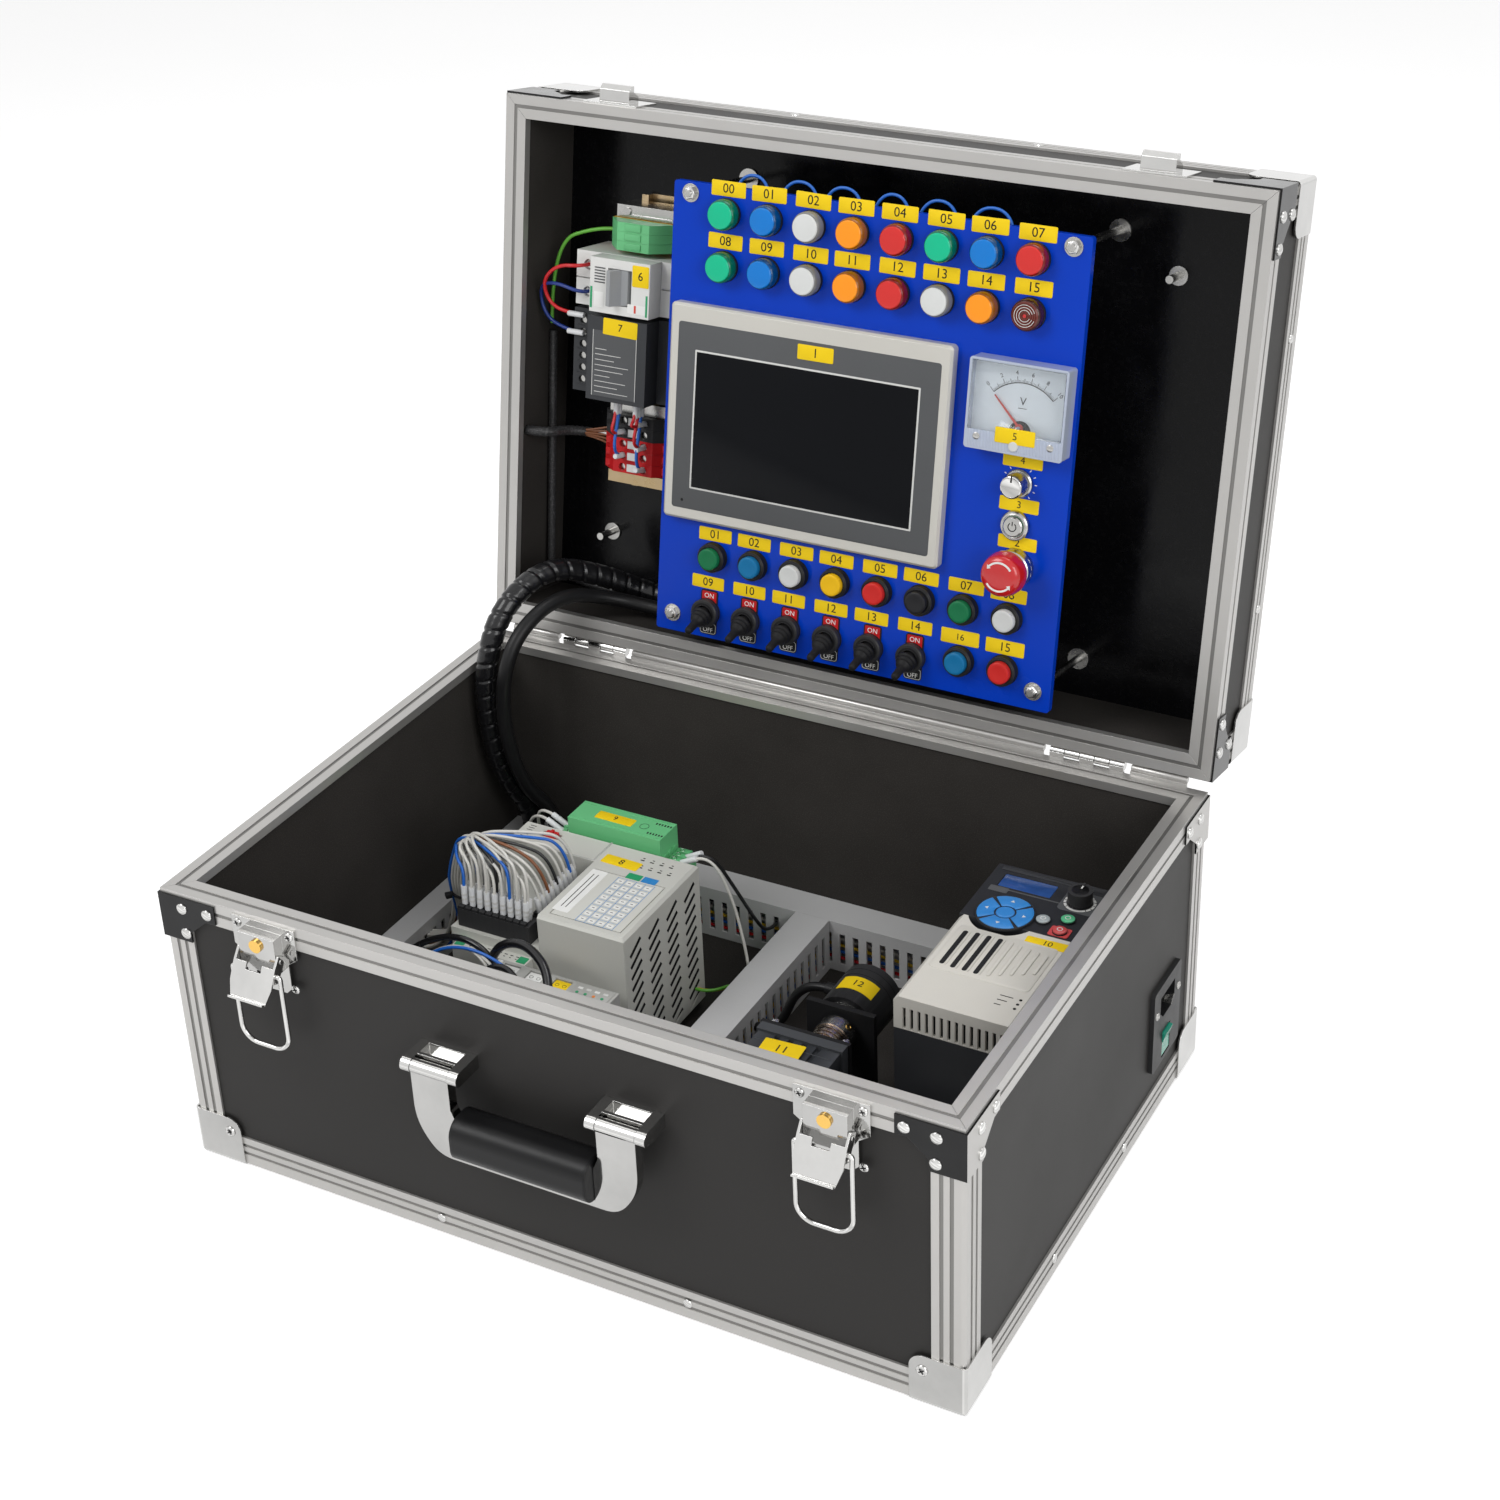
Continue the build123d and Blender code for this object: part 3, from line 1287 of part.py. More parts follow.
for start, reach in ((-84, 32), (-22, 34), (42, 30)):
    routes.append(([(start, panel_top - 6, panel_back), (start + 3, panel_top + 8, panel_back - 2),
                    (start + reach, panel_top + 7, panel_back - 2),
                    (start + reach + 4, panel_top - 6, panel_back)], wire_size))
for place in range(terminal_count):
    x = lid_rail_x + 8 * (-1) ** place
    u = terminal_u + terminal_pitch * (place + 0.5)
    high = lid_rail_top + 42 + 2 * place
    routes.append(([(x, u, lid_rail_top + 26 + wire_gap), (x, u, high),
                    (x, supply_u - 10, high - 8), (x, supply_u - wire_gap, high - 8)],
                   ferrule_size))
with BuildPart() as lid_wiring:
    add([lid_plane.location * cable(route, size, 6) for route, size in routes])

# Operator screen let into the panel
with BuildPart(lid_plane) as hmi:
    with BuildSketch(lid_plane.offset(panel_face)):
        with Locations((hmi_x, hmi_u)):
            RectangleRounded(hmi_width, hmi_height, hmi_round)
    extrude(amount=hmi_out)
    chamfer(hmi.faces().sort_by(Axis((0, 0, 0), lid_plane.z_dir))[-1].edges(), 1.6)
    with BuildSketch(lid_plane.offset(panel_face + hmi_out)):
        with Locations((hmi_x, screen_u)):
            Rectangle(screen_width, screen_height)
    extrude(amount=-1, mode=Mode.SUBTRACT)
    with Locations((hmi_x, hmi_u, panel_face)):
        Box(hmi_width - 16, hmi_height - 16, hmi_back_depth, align=hang)


# Lamps, buttons and switches: fronts on the panel and contact blocks behind it


def round_head(radius, height, edge):
    """A round front with its front edge eased."""
    with BuildPart() as head:
        Cylinder(radius, height, align=stand)
        chamfer(head.edges().group_by(Axis.Z)[-1], edge)
    return head.part


def ring(outer, inner, height):
    """A bezel open through its height."""
    with BuildPart() as bezel:
        add(round_head(outer, height, 0.8))
        Cylinder(inner, height, align=stand, mode=Mode.SUBTRACT)
    return bezel.part


def on_panel(piece, place, out=0):
    """A piece drawn upright at the origin, stood on the panel's face."""
    return Pos(place[0], place[1], panel_face + out) * piece


def back_blocks(places):
    """The contact blocks behind the panel."""
    with Locations([(x, u, panel_out) for x, u in places]):
        Box(16, 18, barrel_length, align=hang)


lamp_places = [(lamp_x + place * device_pitch, row) for row in lamp_rows for place in range(8)]
lamp_head = round_head(lamp_radius, lamp_height, 2.4)
with BuildPart(lid_plane) as indicator_lamps:
    add([on_panel(lamp_head, place) for place in lamp_places])
    back_blocks(lamp_places)

upper_buttons = [(button_x + place * device_pitch, button_u) for place in range(8)]
spare_button = (upper_buttons[6][0], lower_button_u)
last_button = (upper_buttons[7][0], lower_button_u)
toggle_places = [(toggle_x + place * device_pitch, toggle_u) for place in range(6)]
estop_place = (right_column_x + 2, estop_u)
power_place = (right_column_x, power_u)
knob_place = (right_column_x, knob_u)
all_buttons = upper_buttons + [spare_button, last_button]
button_ring = ring(button_bezel_radius, button_cap_radius + button_clearance, button_bezel_height)
toggle_ring = ring(toggle_boot_radius, toggle_ball_radius + 1.4, toggle_pivot_out + 1.5)
with BuildPart(lid_plane) as switch_bodies:
    add([on_panel(button_ring, place) for place in all_buttons])
    add([on_panel(toggle_ring, place) for place in toggle_places])
    add(on_panel(ring(estop_collar_radius, estop_stem_radius + button_clearance,
                      estop_collar_height), estop_place))
    add(on_panel(ring(power_radius, power_cap_radius + button_clearance, power_height),
                 power_place))
    add(on_panel(ring(knob_radius + 1.5, knob_shaft_radius + pin_clearance, knob_base),
                 knob_place))
    back_blocks(all_buttons + toggle_places + [estop_place, power_place, knob_place])
    with Locations([(x, u, panel_face + toggle_pivot_out) for x, u in toggle_places]):
        Cylinder(1, 2 * toggle_ball_radius + 5, rotation=(0, 90, 0))

cap_height = button_bezel_height + button_cap_height - button_travel - 0.2
button_cap = round_head(button_cap_radius, cap_height, 0.8)
buttons = {f"button_{number:02d}": place for number, place in enumerate(upper_buttons, 1)}
buttons["button_15"] = last_button
buttons["button_spare"] = spare_button
for label, place in buttons.items():
    with BuildPart(lid_plane) as button:
        add(on_panel(button_cap, place, button_travel + 0.2))
    finish(button, label)

with BuildPart() as toggle_piece:
    Cylinder(toggle_ball_radius, 2 * toggle_ball_radius - 1.4, rotation=(0, 90, 0))
    Cylinder(3, 5, align=stand)
    Cylinder(1 + pin_clearance, 20, rotation=(0, 90, 0), mode=Mode.SUBTRACT)
    with Locations((0, 0, 4)):
        Cone(toggle_boot_radius - 2.4, 3, toggle_boot_height - 2, align=stand)
    with Locations((0, 0, 2 + toggle_boot_height)):
        Cylinder(2.6, toggle_lever_length - toggle_boot_height - 2, align=stand)
for number, place in enumerate(toggle_places, 9):
    with BuildPart(lid_plane) as toggle:
        add(on_panel(Rot(toggle_rest_angle, 0, 0) * toggle_piece.part, place, toggle_pivot_out))
    finish(toggle, f"toggle_{number:02d}")

# Emergency stop: a stem that slides in its collar, and a head that turns on the stem
with BuildPart() as stem_piece:
    with Locations((0, 0, estop_travel + 0.3)):
        Cylinder(estop_stem_radius, estop_collar_height, align=stand)
    with Locations((0, 0, estop_travel + estop_collar_height + 0.3)):
        Cylinder(3, 7, align=stand)
head_out = estop_travel + estop_collar_height + 0.4
with BuildPart() as head_piece:
    add(round_head(estop_head_radius, estop_head_height, 3))
    Cylinder(3 + pin_clearance, 7.2, align=stand, mode=Mode.SUBTRACT)
with BuildPart(lid_plane) as estop_stem:
    add(on_panel(stem_piece.part, estop_place))
with BuildPart(lid_plane) as estop_head:
    add(on_panel(head_piece.part, estop_place, head_out))
with BuildPart(lid_plane) as power_button:
    add(on_panel(round_head(power_cap_radius, power_height, 0.8), power_place,
                 power_travel + 0.2))
with BuildPart() as knob_piece:
    with Locations((0, 0, knob_base + 0.2)):
        Cylinder(knob_radius, knob_height, align=stand)
    Cylinder(knob_shaft_radius, knob_base + 0.2, align=stand)
    with Locations((0, knob_radius - 2.4, knob_base + 0.2 + knob_height)):
        Box(1.4, 5, 1.6, align=hang, mode=Mode.SUBTRACT)
with BuildPart(lid_plane) as analog_knob:
    add(on_panel(knob_piece.part, knob_place, seat))

# Panel meter with a sunk dial, and its needle on a pin
pivot_u = meter_u - 12
dial = panel_face + meter_dial_out
with BuildPart(lid_plane) as panel_meter:
    with BuildSketch(lid_plane.offset(panel_face)):
        with Locations((meter_x, meter_u)):
            RectangleRounded(meter_width, meter_height, 2)
    extrude(amount=meter_out)
    slab((meter_x - meter_width / 2 + meter_wall, meter_x + meter_width / 2 - meter_wall),
         (pivot_u - 4, meter_u + meter_height / 2 - meter_wall),
         (dial, panel_face + meter_out + 1), Mode.SUBTRACT)
    with Locations((meter_x, pivot_u, dial)):
        Cylinder(1, 4.4, align=stand)
    with Locations((meter_x, meter_u - 6, panel_out)):
        Cylinder(22, 20, align=hang)

with BuildPart() as needle_piece:
    Cylinder(2.4, 2, align=stand)
    with BuildSketch(Plane.XY.offset(0.8)):
        Polygon((-0.8, -needle_tail), (0.8, -needle_tail), (0.3, needle_length), (-0.3, needle_length), align=None)
    extrude(amount=0.6)
    Cylinder(1 + pin_clearance, 4, align=stand, mode=Mode.SUBTRACT)
with BuildPart() as meter_needle:
    add(lid_plane.location * Pos(meter_x, pivot_u, dial + 0.4) * Rot(0, 0, needle_span / 2)
        * needle_piece.part)


# Harness from the base's back duct to its saddle in the lid, with a smooth cable beside it


def in_lid(x, u, w):
    """A lid point as a point of the whole case."""
    return tuple(lid_plane.from_local_coords(Vector(x, u, w)))


duct_top = floor_z + duct_height + duct_cover - seat
harness_route = [
    (-222, 151, duct_top), (-222, 151, duct_top + 24), (-230, 132, 108), (-235, 125, 156),
    (-232, 126, 204), (-226, 142, 238), (-213, 180, 254), in_lid(-190, 39, -26),
    in_lid(-156, harness_up, harness_out), in_lid(saddle_x + 16, harness_up, harness_out),
]
pair_route = [
    (-203, 151, duct_top), (-203, 151, duct_top + 24), (-212, 128, 108), (-217, 119, 154),
    (-214, 118, 198), (-209, 134, 227), (-199, 172, 239), in_lid(-180, 27, -18),
    in_lid(-150, pair_up, pair_out), in_lid(saddle_x + 16, pair_up, pair_out),
]
with BuildPart() as harness:
    add(cable(harness_route, harness_radius, 0, "harness"))
with BuildPart() as harness_pair:
    add(cable(pair_route, harness_pair_radius, 0, "harness_pair"))

finish(base_panels, "base_panels")
finish(base_edging, "base_edging")
finish(base_hardware, "base_hardware")
finish(front_fittings, "front_fittings")
finish(latch_lever_left, "latch_lever_left")
finish(latch_lever_right, "latch_lever_right")
finish(latch_bail_left, "latch_bail_left")
finish(latch_bail_right, "latch_bail_right")
finish(carry_handle, "carry_handle")
finish(mains_inlet, "mains_inlet")
finish(inlet_rocker, "inlet_rocker")
finish(wiring_ducts, "wiring_ducts")
finish(plc_body, "plc_body")
finish(plc_mode_switch, "plc_mode_switch")
finish(rail_modules, "rail_modules")
finish(inverter_body, "inverter_body")
finish(inverter_cover, "inverter_cover")
finish(inverter_knob, "inverter_knob")
finish(motor_body, "motor_body")
finish(drive_line, "drive_line")
finish(encoder_body, "encoder_body")
finish(motor_driver, "motor_driver")
finish(base_wiring, "base_wiring")
finish(lid_panels, "lid_panels")
finish(lid_edging, "lid_edging")
finish(lid_hardware, "lid_hardware")
finish(control_panel, "control_panel")
finish(lid_rail_and_studs, "lid_rail_and_studs")
finish(circuit_breaker, "circuit_breaker")
finish(breaker_lever, "breaker_lever")
finish(power_supply, "power_supply")
finish(terminal_blocks, "terminal_blocks")
finish(lid_wiring, "lid_wiring")
finish(hmi, "hmi")
finish(indicator_lamps, "indicator_lamps")
finish(switch_bodies, "switch_bodies")
finish(estop_stem, "estop_stem")
finish(estop_head, "estop_head")
finish(power_button, "power_button")
finish(analog_knob, "analog_knob")
finish(panel_meter, "panel_meter")
finish(meter_needle, "meter_needle")
finish(harness, "harness")
finish(harness_pair, "harness_pair")
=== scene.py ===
"""Looks of the suitcase trainer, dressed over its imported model. Lengths are in mm until a piece is done."""
from math import cos, pi, radians, sin

import bmesh
import bpy
from mathutils import Matrix, Vector


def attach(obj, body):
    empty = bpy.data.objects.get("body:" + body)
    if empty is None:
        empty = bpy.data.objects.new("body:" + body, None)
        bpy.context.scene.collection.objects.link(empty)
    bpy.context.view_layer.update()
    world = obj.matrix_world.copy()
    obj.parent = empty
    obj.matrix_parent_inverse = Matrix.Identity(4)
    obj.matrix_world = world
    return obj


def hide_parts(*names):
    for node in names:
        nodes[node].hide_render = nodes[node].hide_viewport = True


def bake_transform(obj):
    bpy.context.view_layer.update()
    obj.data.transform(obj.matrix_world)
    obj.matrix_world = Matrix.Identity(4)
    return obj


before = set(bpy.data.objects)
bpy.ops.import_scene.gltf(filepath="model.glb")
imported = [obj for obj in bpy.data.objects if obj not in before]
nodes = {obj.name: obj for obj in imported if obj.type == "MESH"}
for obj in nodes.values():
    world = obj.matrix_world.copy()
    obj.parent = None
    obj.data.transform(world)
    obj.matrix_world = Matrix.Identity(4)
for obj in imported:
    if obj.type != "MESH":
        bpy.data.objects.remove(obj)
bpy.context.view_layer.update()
scene = bpy.context.scene
scene.view_settings.view_transform = "Standard"
MM = 0.001
HERE = Matrix.Identity(4)

# The open lid's own frame: x, up the lid, out of its mouth. Its origin is two steps from the hinge's pin
pin_y, pin_z = 183.2, 199.2
step_up, step_out = 3.2, 2.6
open_by = radians(100.5)
lid_up = Vector((0, -cos(open_by), sin(open_by)))
lid_out = Vector((0, -sin(open_by), -cos(open_by)))
LID = Matrix(((1, 0, 0), lid_up, lid_out)).transposed().to_4x4()
LID.translation = (0, pin_y - step_up * cos(open_by) - step_out * sin(open_by),
                   pin_z + step_up * sin(open_by) - step_out * cos(open_by))
LID_BACK = LID.inverted()

# Camera at the photograph's place
camera = bpy.data.objects.new("camera", bpy.data.cameras.new("camera"))
scene.collection.objects.link(camera)
right = Vector((0.885283, 0.464130, -0.029260)).normalized()
ahead = Vector((-0.419798, 0.770482, -0.479716)).normalized()
camera.matrix_world = Matrix((right, right.cross(ahead), -ahead)).transposed().to_4x4()
camera.matrix_world.translation = (0.681876, -1.126564, 1.029471)
camera.data.sensor_width = 36
camera.data.lens = 62.095
camera.data.shift_x = -0.02512
camera.data.shift_y = -0.05416
camera.data.clip_start = 0.05
scene.camera = camera


# Materials
def feed(tree, made, sockets):
    """Links or sets a node's sockets."""
    for name, value in sockets.items():
        if isinstance(value, bpy.types.NodeSocket):
            tree.links.new(value, made.inputs[name])
        else:
            made.inputs[name].default_value = value


def node(tree, kind, sockets, **settings):
    made = tree.nodes.new("ShaderNode" + kind)
    for name, value in settings.items():
        setattr(made, name, value)
    feed(tree, made, sockets)
    return made


def mixed(tree, factor, one, two, blend="MIX"):
    return node(tree, "Mix", {0: factor, 6: one, 7: two}, data_type="RGBA", blend_type=blend).outputs[2]


# Painted reflection: shades standing in for what polished metal mirrors of a studio, by how far a face turns
# towards the light
light_from = (0.42, -0.25, 0.87)
painted_reflection_stops = ((0.28, 0.25), (0.44, 0.55), (0.5, 0.18), (0.56, 0.8), (0.625, 0.5), (0.66, 0.85), (0.74, 0.6),
             (0.82, 0.95), (0.93, 0.85))


def painted_reflection_ramp(tree):
    normal = node(tree, "NewGeometry", {}).outputs["Normal"]
    toward = node(tree, "VectorMath", {0: normal, 1: light_from}, operation="DOT_PRODUCT")
    share = node(tree, "Math", {0: toward.outputs["Value"], 1: 0.5, 2: 0.5},
                 operation="MULTIPLY_ADD").outputs[0]
    steps = node(tree, "ValToRGB", {"Fac": share})
    stops = steps.color_ramp.elements
    stops[0].position, stops[1].position = 0.0, 1.0
    for place, shade in painted_reflection_stops:
        stops.new(place).color = (shade, shade, shade, 1)
    stops[0].color = (0.5, 0.5, 0.5, 1)
    stops[-1].color = (0.85, 0.85, 0.85, 1)
    return steps.outputs["Color"]


def finish_of(name, color, rough, metal=0.0, grain=2600, bump=0.01, vary=0.1, cloud=22, stretch=(1, 1, 1),
              edge=0.3, coat=0.0, clear=0.0, specks=0.0, rough_vary=0.25, glow=0.0, wear=0.0, second=None,
              spec=0.5, studio=0.0):
    """A procedural finish: clouded colour, fine grain in the bump, cloudy roughness, eased edges. Studio
    multiplies the colour by a painted studio reflection.
    """
    material = bpy.data.materials.new(name)
    material.use_nodes = True
    tree = material.node_tree
    spot = node(tree, "TexCoord", {}).outputs["Object"]
    stretched = node(tree, "Mapping", {"Vector": spot, "Scale": stretch}).outputs["Vector"]
    fine = node(tree, "TexNoise", {"Vector": stretched, "Scale": grain, "Detail": 4}).outputs["Fac"]
    clouds = node(tree, "TexNoise", {"Vector": spot, "Scale": cloud, "Detail": 5, "Roughness": 0.6})
    soft = clouds.outputs["Fac"]
    low = [c * (1 - vary) for c in color]
    high = [min(1, c * (1 + vary)) for c in second or color]
    shade = mixed(tree, soft, (*low, 1), (*high, 1))
    if specks:
        dots = node(tree, "MapRange", {"Value": fine, "From Min": 0.5, "From Max": 0.8, "To Max": specks})
        shade = mixed(tree, dots.outputs["Result"], shade, (*[min(1, c * 3 + 0.03) for c in color], 1))
    if wear:
        corners = node(tree, "NewGeometry", {}).outputs["Pointiness"]
        rubs = node(tree, "MapRange", {"Value": corners, "From Min": 0.53, "From Max": 0.6, "To Max": wear})
        shade = mixed(tree, rubs.outputs["Result"], shade, (*[min(1, c * 1.6 + 0.06) for c in color], 1))
    # Painted reflection: the colour is multiplied by the studio shades that a face would mirror
    if studio:
        shade = mixed(tree, studio, shade, painted_reflection_ramp(tree), "MULTIPLY")
    span = node(tree, "MapRange", {
        "Value": soft, "From Min": 0.25, "From Max": 0.75,
        "To Min": max(0.02, rough * (1 - rough_vary)), "To Max": min(1, rough * (1 + rough_vary))})
    relief = node(tree, "Bump", {"Strength": 1, "Distance": bump * MM, "Height": fine})
    if edge:
        eased = node(tree, "Bevel", {"Radius": edge * MM}, samples=4)
        feed(tree, relief, {"Normal": eased.outputs["Normal"]})
    shader = tree.nodes["Principled BSDF"]
    feed(tree, shader, {
        "Base Color": shade, "Roughness": span.outputs["Result"], "Metallic": metal,
        "Specular IOR Level": spec, "Coat Weight": coat, "Coat Roughness": 0.06,
        "Transmission Weight": clear, "Normal": relief.outputs["Normal"]})
    if glow:
        feed(tree, shader, {"Emission Color": shade, "Emission Strength": glow})
    return material


laminate = finish_of("laminate", (0.023, 0.0218, 0.0208), 0.5, bump=0.05, vary=0.08, cloud=9, specks=0.25,
                     spec=0.16, rough_vary=0.08)
lining = finish_of("lining", (0.034, 0.031, 0.0285), 0.8, grain=1500, bump=0.06, vary=0.4, cloud=14,
                   specks=0.3, edge=0, spec=0.08)
gloss_floor = finish_of("gloss_floor", (0.003, 0.003, 0.0036), 0.2, grain=320, bump=0.03, vary=0.3,
                        cloud=30, specks=0.1, edge=0, rough_vary=0.5, spec=0.16)
edging = {
    axis: finish_of("edging_" + axis, (0.465, 0.455, 0.44), 0.32, 0.64, grain=2200, bump=0.004, vary=0.04,
                    cloud=30, stretch=stretch, edge=0.25, rough_vary=0.1)
    for axis, stretch in (("x", (0.02, 1, 1)), ("y", (1, 0.02, 1)), ("z", (1, 1, 0.02)))}
# Darker metal for groove floors and the rim strip's groove line: painted shade, as the edging is one metal
groove = finish_of("groove", (0.2, 0.196, 0.188), 0.4, 0.9, grain=2200, bump=0.004, cloud=30, edge=0)
# Chrome: its strong cloudy colour is painted reflection, soft bright-to-grey gradients, and studio adds a
# painted studio reflection
chrome = finish_of("chrome", (0.74, 0.735, 0.72), 0.08, 1, grain=700, bump=0.002, vary=0.28, cloud=16,
                   edge=0.4, rough_vary=0.6, studio=0.85)
# Near-black chrome: a painted reflection of the dark that the rim's brackets mirror
chrome_painted_dark_reflection = finish_of("chrome_painted_dark_reflection", (0.03, 0.03, 0.0305), 0.16, 1, grain=700, bump=0.003, vary=0.15,
                        cloud=60, edge=0.4, rough_vary=0.5)
steel = finish_of("steel", (0.44, 0.435, 0.42), 0.25, 1, grain=1600, bump=0.004, vary=0.08, cloud=90,
                  edge=0.2)
brass = finish_of("brass", (0.72, 0.45, 0.12), 0.22, 1, grain=1500, bump=0.003, cloud=90, edge=0.2)
bronze = finish_of("bronze", (0.42, 0.32, 0.22), 0.24, 1, grain=1500, bump=0.004, vary=0.25, cloud=120,
                   edge=0.2, second=(0.55, 0.49, 0.45))
passivated = finish_of("passivated", (0.36, 0.26, 0.1), 0.3, 1, grain=900, bump=0.004, vary=0.12, cloud=55,
                       edge=0.2, second=(0.4, 0.31, 0.22))
lever_grey = finish_of("lever_grey", (0.3, 0.31, 0.32), 0.4, grain=2400, vary=0.08)
black_plastic = finish_of("black_plastic", (0.012, 0.012, 0.013), 0.38, grain=2400, bump=0.02, vary=0.2,
                          specks=0.1, edge=0.25, wear=0.3, spec=0.15)
soft_black = finish_of("soft_black", (0.014, 0.014, 0.015), 0.55, grain=2000, bump=0.04, vary=0.2,
                       specks=0.12, edge=0.25, spec=0.12)
rubber = finish_of("rubber", (0.012, 0.012, 0.013), 0.5, grain=2200, bump=0.03, vary=0.25, specks=0.1,
                   edge=0.5, spec=0.12)
grip_rubber = finish_of("grip_rubber", (0.009, 0.009, 0.0095), 0.36, bump=0.05, vary=0.2, edge=2.5,
                        spec=0.2)
jacket = finish_of("jacket", (0.008, 0.008, 0.009), 0.26, grain=1800, bump=0.02, vary=0.3, edge=0,
                   rough_vary=0.4, coat=0.25, spec=0.3)
braid_jacket = finish_of("braid_jacket", (0.03, 0.03, 0.031), 0.4, grain=900, bump=0.06, vary=0.3, edge=0,
                         specks=1, spec=0.3)
smooth_jacket = finish_of("smooth_jacket", (0.009, 0.009, 0.0095), 0.36, grain=900, bump=0.03, vary=0.3,
                          edge=0, spec=0.22)
duct_grey = finish_of("duct_grey", (0.53, 0.53, 0.53), 0.48, grain=1800, bump=0.015, vary=0.05, specks=0.05)
plc_grey = finish_of("plc_grey", (0.53, 0.53, 0.49), 0.5, bump=0.025, vary=0.05, specks=0.06, edge=0.4,
                     wear=0.15)
module_grey = finish_of("module_grey", (0.4, 0.4, 0.38), 0.5, bump=0.025, vary=0.07, specks=0.05)
green_plastic = finish_of("green_plastic", (0.11, 0.44, 0.18), 0.42, grain=2400, bump=0.015, wear=0.2)
drive_black = finish_of("drive_black", (0.02, 0.021, 0.024), 0.45, grain=2400, bump=0.03, vary=0.15,
                        specks=0.1, edge=0.5, wear=0.25, spec=0.16)
drive_cover = finish_of("drive_cover", (0.58, 0.56, 0.51), 0.45, bump=0.025, vary=0.04, specks=0.04,
                        edge=0.5)
anodised = finish_of("anodised", (0.03, 0.033, 0.038), 0.4, grain=2200, bump=0.015, vary=0.15, edge=0.4,
                     wear=0.4, spec=0.2)
unit_grey = finish_of("unit_grey", (0.028, 0.029, 0.032), 0.46, grain=2400, bump=0.03, vary=0.15,
                      specks=0.08, edge=0.4, spec=0.15)
panel_blue = finish_of("panel_blue", (0, 0.042, 0.48), 0.22, grain=600, bump=0.004, vary=0.06, cloud=6,
                       edge=0.5, rough_vary=0.4, spec=0.16)
breaker_white = finish_of("breaker_white", (0.7, 0.7, 0.68), 0.42, grain=2400, bump=0.015, vary=0.04,
                          specks=0.03, edge=0.4)
supply_dark = finish_of("supply_dark", (0.04, 0.042, 0.046), 0.46, grain=2400, bump=0.025, vary=0.12,
                        specks=0.06, spec=0.2)
terminal_red = finish_of("terminal_red", (0.5, 0.012, 0.015), 0.4, grain=2200, bump=0.015, vary=0.12,
                         spec=0.2)
terminal_yellow = finish_of("terminal_yellow", (0.8, 0.48, 0.02), 0.4, grain=2200, bump=0.015)
bezel_silver = finish_of("bezel_silver", (0.56, 0.545, 0.5), 0.36, 0.15, grain=3200, bump=0.012, vary=0.04,
                         specks=0.05, edge=0.6)
frame_grey = finish_of("frame_grey", (0.085, 0.088, 0.092), 0.42, bump=0.012, vary=0.06, specks=0.05,
                       spec=0.2)
line_silver = finish_of("line_silver", (0.6, 0.6, 0.58), 0.35, grain=2000, bump=0.004, vary=0.05, edge=0.1)
screen_black = finish_of("screen_black", (0.0025, 0.003, 0.0045), 0.14, grain=500, bump=0.001, vary=0.3,
                         cloud=12, edge=0, rough_vary=0.5, spec=0.1)
label_yellow = finish_of("label_yellow", (0.86, 0.6, 0.012), 0.42, bump=0.008, vary=0.05, cloud=70,
                         edge=0.1, spec=0.15)
ink = finish_of("ink", (0.018, 0.018, 0.018), 0.5, bump=0.002, vary=0.3, edge=0, spec=0.1)
pale_ink = finish_of("pale_ink", (0.62, 0.62, 0.6), 0.5, bump=0.002, vary=0.15, edge=0)
paper = finish_of("paper", (0.78, 0.78, 0.76), 0.5, bump=0.006, vary=0.04, cloud=80, edge=0.1)
green_print = finish_of("green_print", (0.01, 0.3, 0.12), 0.4, bump=0.004, vary=0.12, edge=0)
blue_print = finish_of("blue_print", (0.02, 0.22, 0.55), 0.4, bump=0.004, vary=0.12, edge=0)
blue_key = finish_of("blue_key", (0.03, 0.22, 0.58), 0.35)
grey_key = finish_of("grey_key", (0.32, 0.36, 0.37), 0.4)
green_key = finish_of("green_key", (0.07, 0.42, 0.2), 0.4)
red_key = finish_of("red_key", (0.55, 0.06, 0.06), 0.4)
orange_part = finish_of("orange_part", (0.8, 0.25, 0.04), 0.45, edge=0.2)
lcd = finish_of("lcd", (0.02, 0.05, 0.16), 0.15, grain=600, bump=0.002, vary=0.3, cloud=60, edge=0,
                coat=0.1, spec=0.2, second=(0.03, 0.09, 0.3))
rocker_green = finish_of("rocker_green", (0.01, 0.3, 0.2), 0.28, grain=1800, bump=0.006, vary=0.15,
                         edge=0.4, coat=0.3)
red_gloss = finish_of("red_gloss", (0.55, 0.012, 0.014), 0.18, grain=900, bump=0.003, vary=0.12, edge=0.5,
                      coat=0.5, spec=0.35)
needle_red = finish_of("needle_red", (0.6, 0.05, 0.03), 0.4, bump=0.002, edge=0)
dial_white = finish_of("dial_white", (0.74, 0.78, 0.8), 0.5, bump=0.004, vary=0.03, edge=0)
meter_case = finish_of("meter_case", (0.42, 0.47, 0.58), 0.16, grain=900, bump=0.004, vary=0.06, edge=0.5,
                       coat=0.4)
glass = finish_of("glass", (0.93, 0.95, 0.97), 0.04, grain=400, bump=0.001, vary=0.02, clear=1)
floor_pale = finish_of("floor_pale", (0.86, 0.86, 0.86), 0.75, grain=60, vary=0.01, cloud=2, edge=0,
                       spec=0.1)
sleeve = finish_of("sleeve", (0.72, 0.73, 0.74), 0.42, bump=0.02, vary=0.08, cloud=260, edge=0)
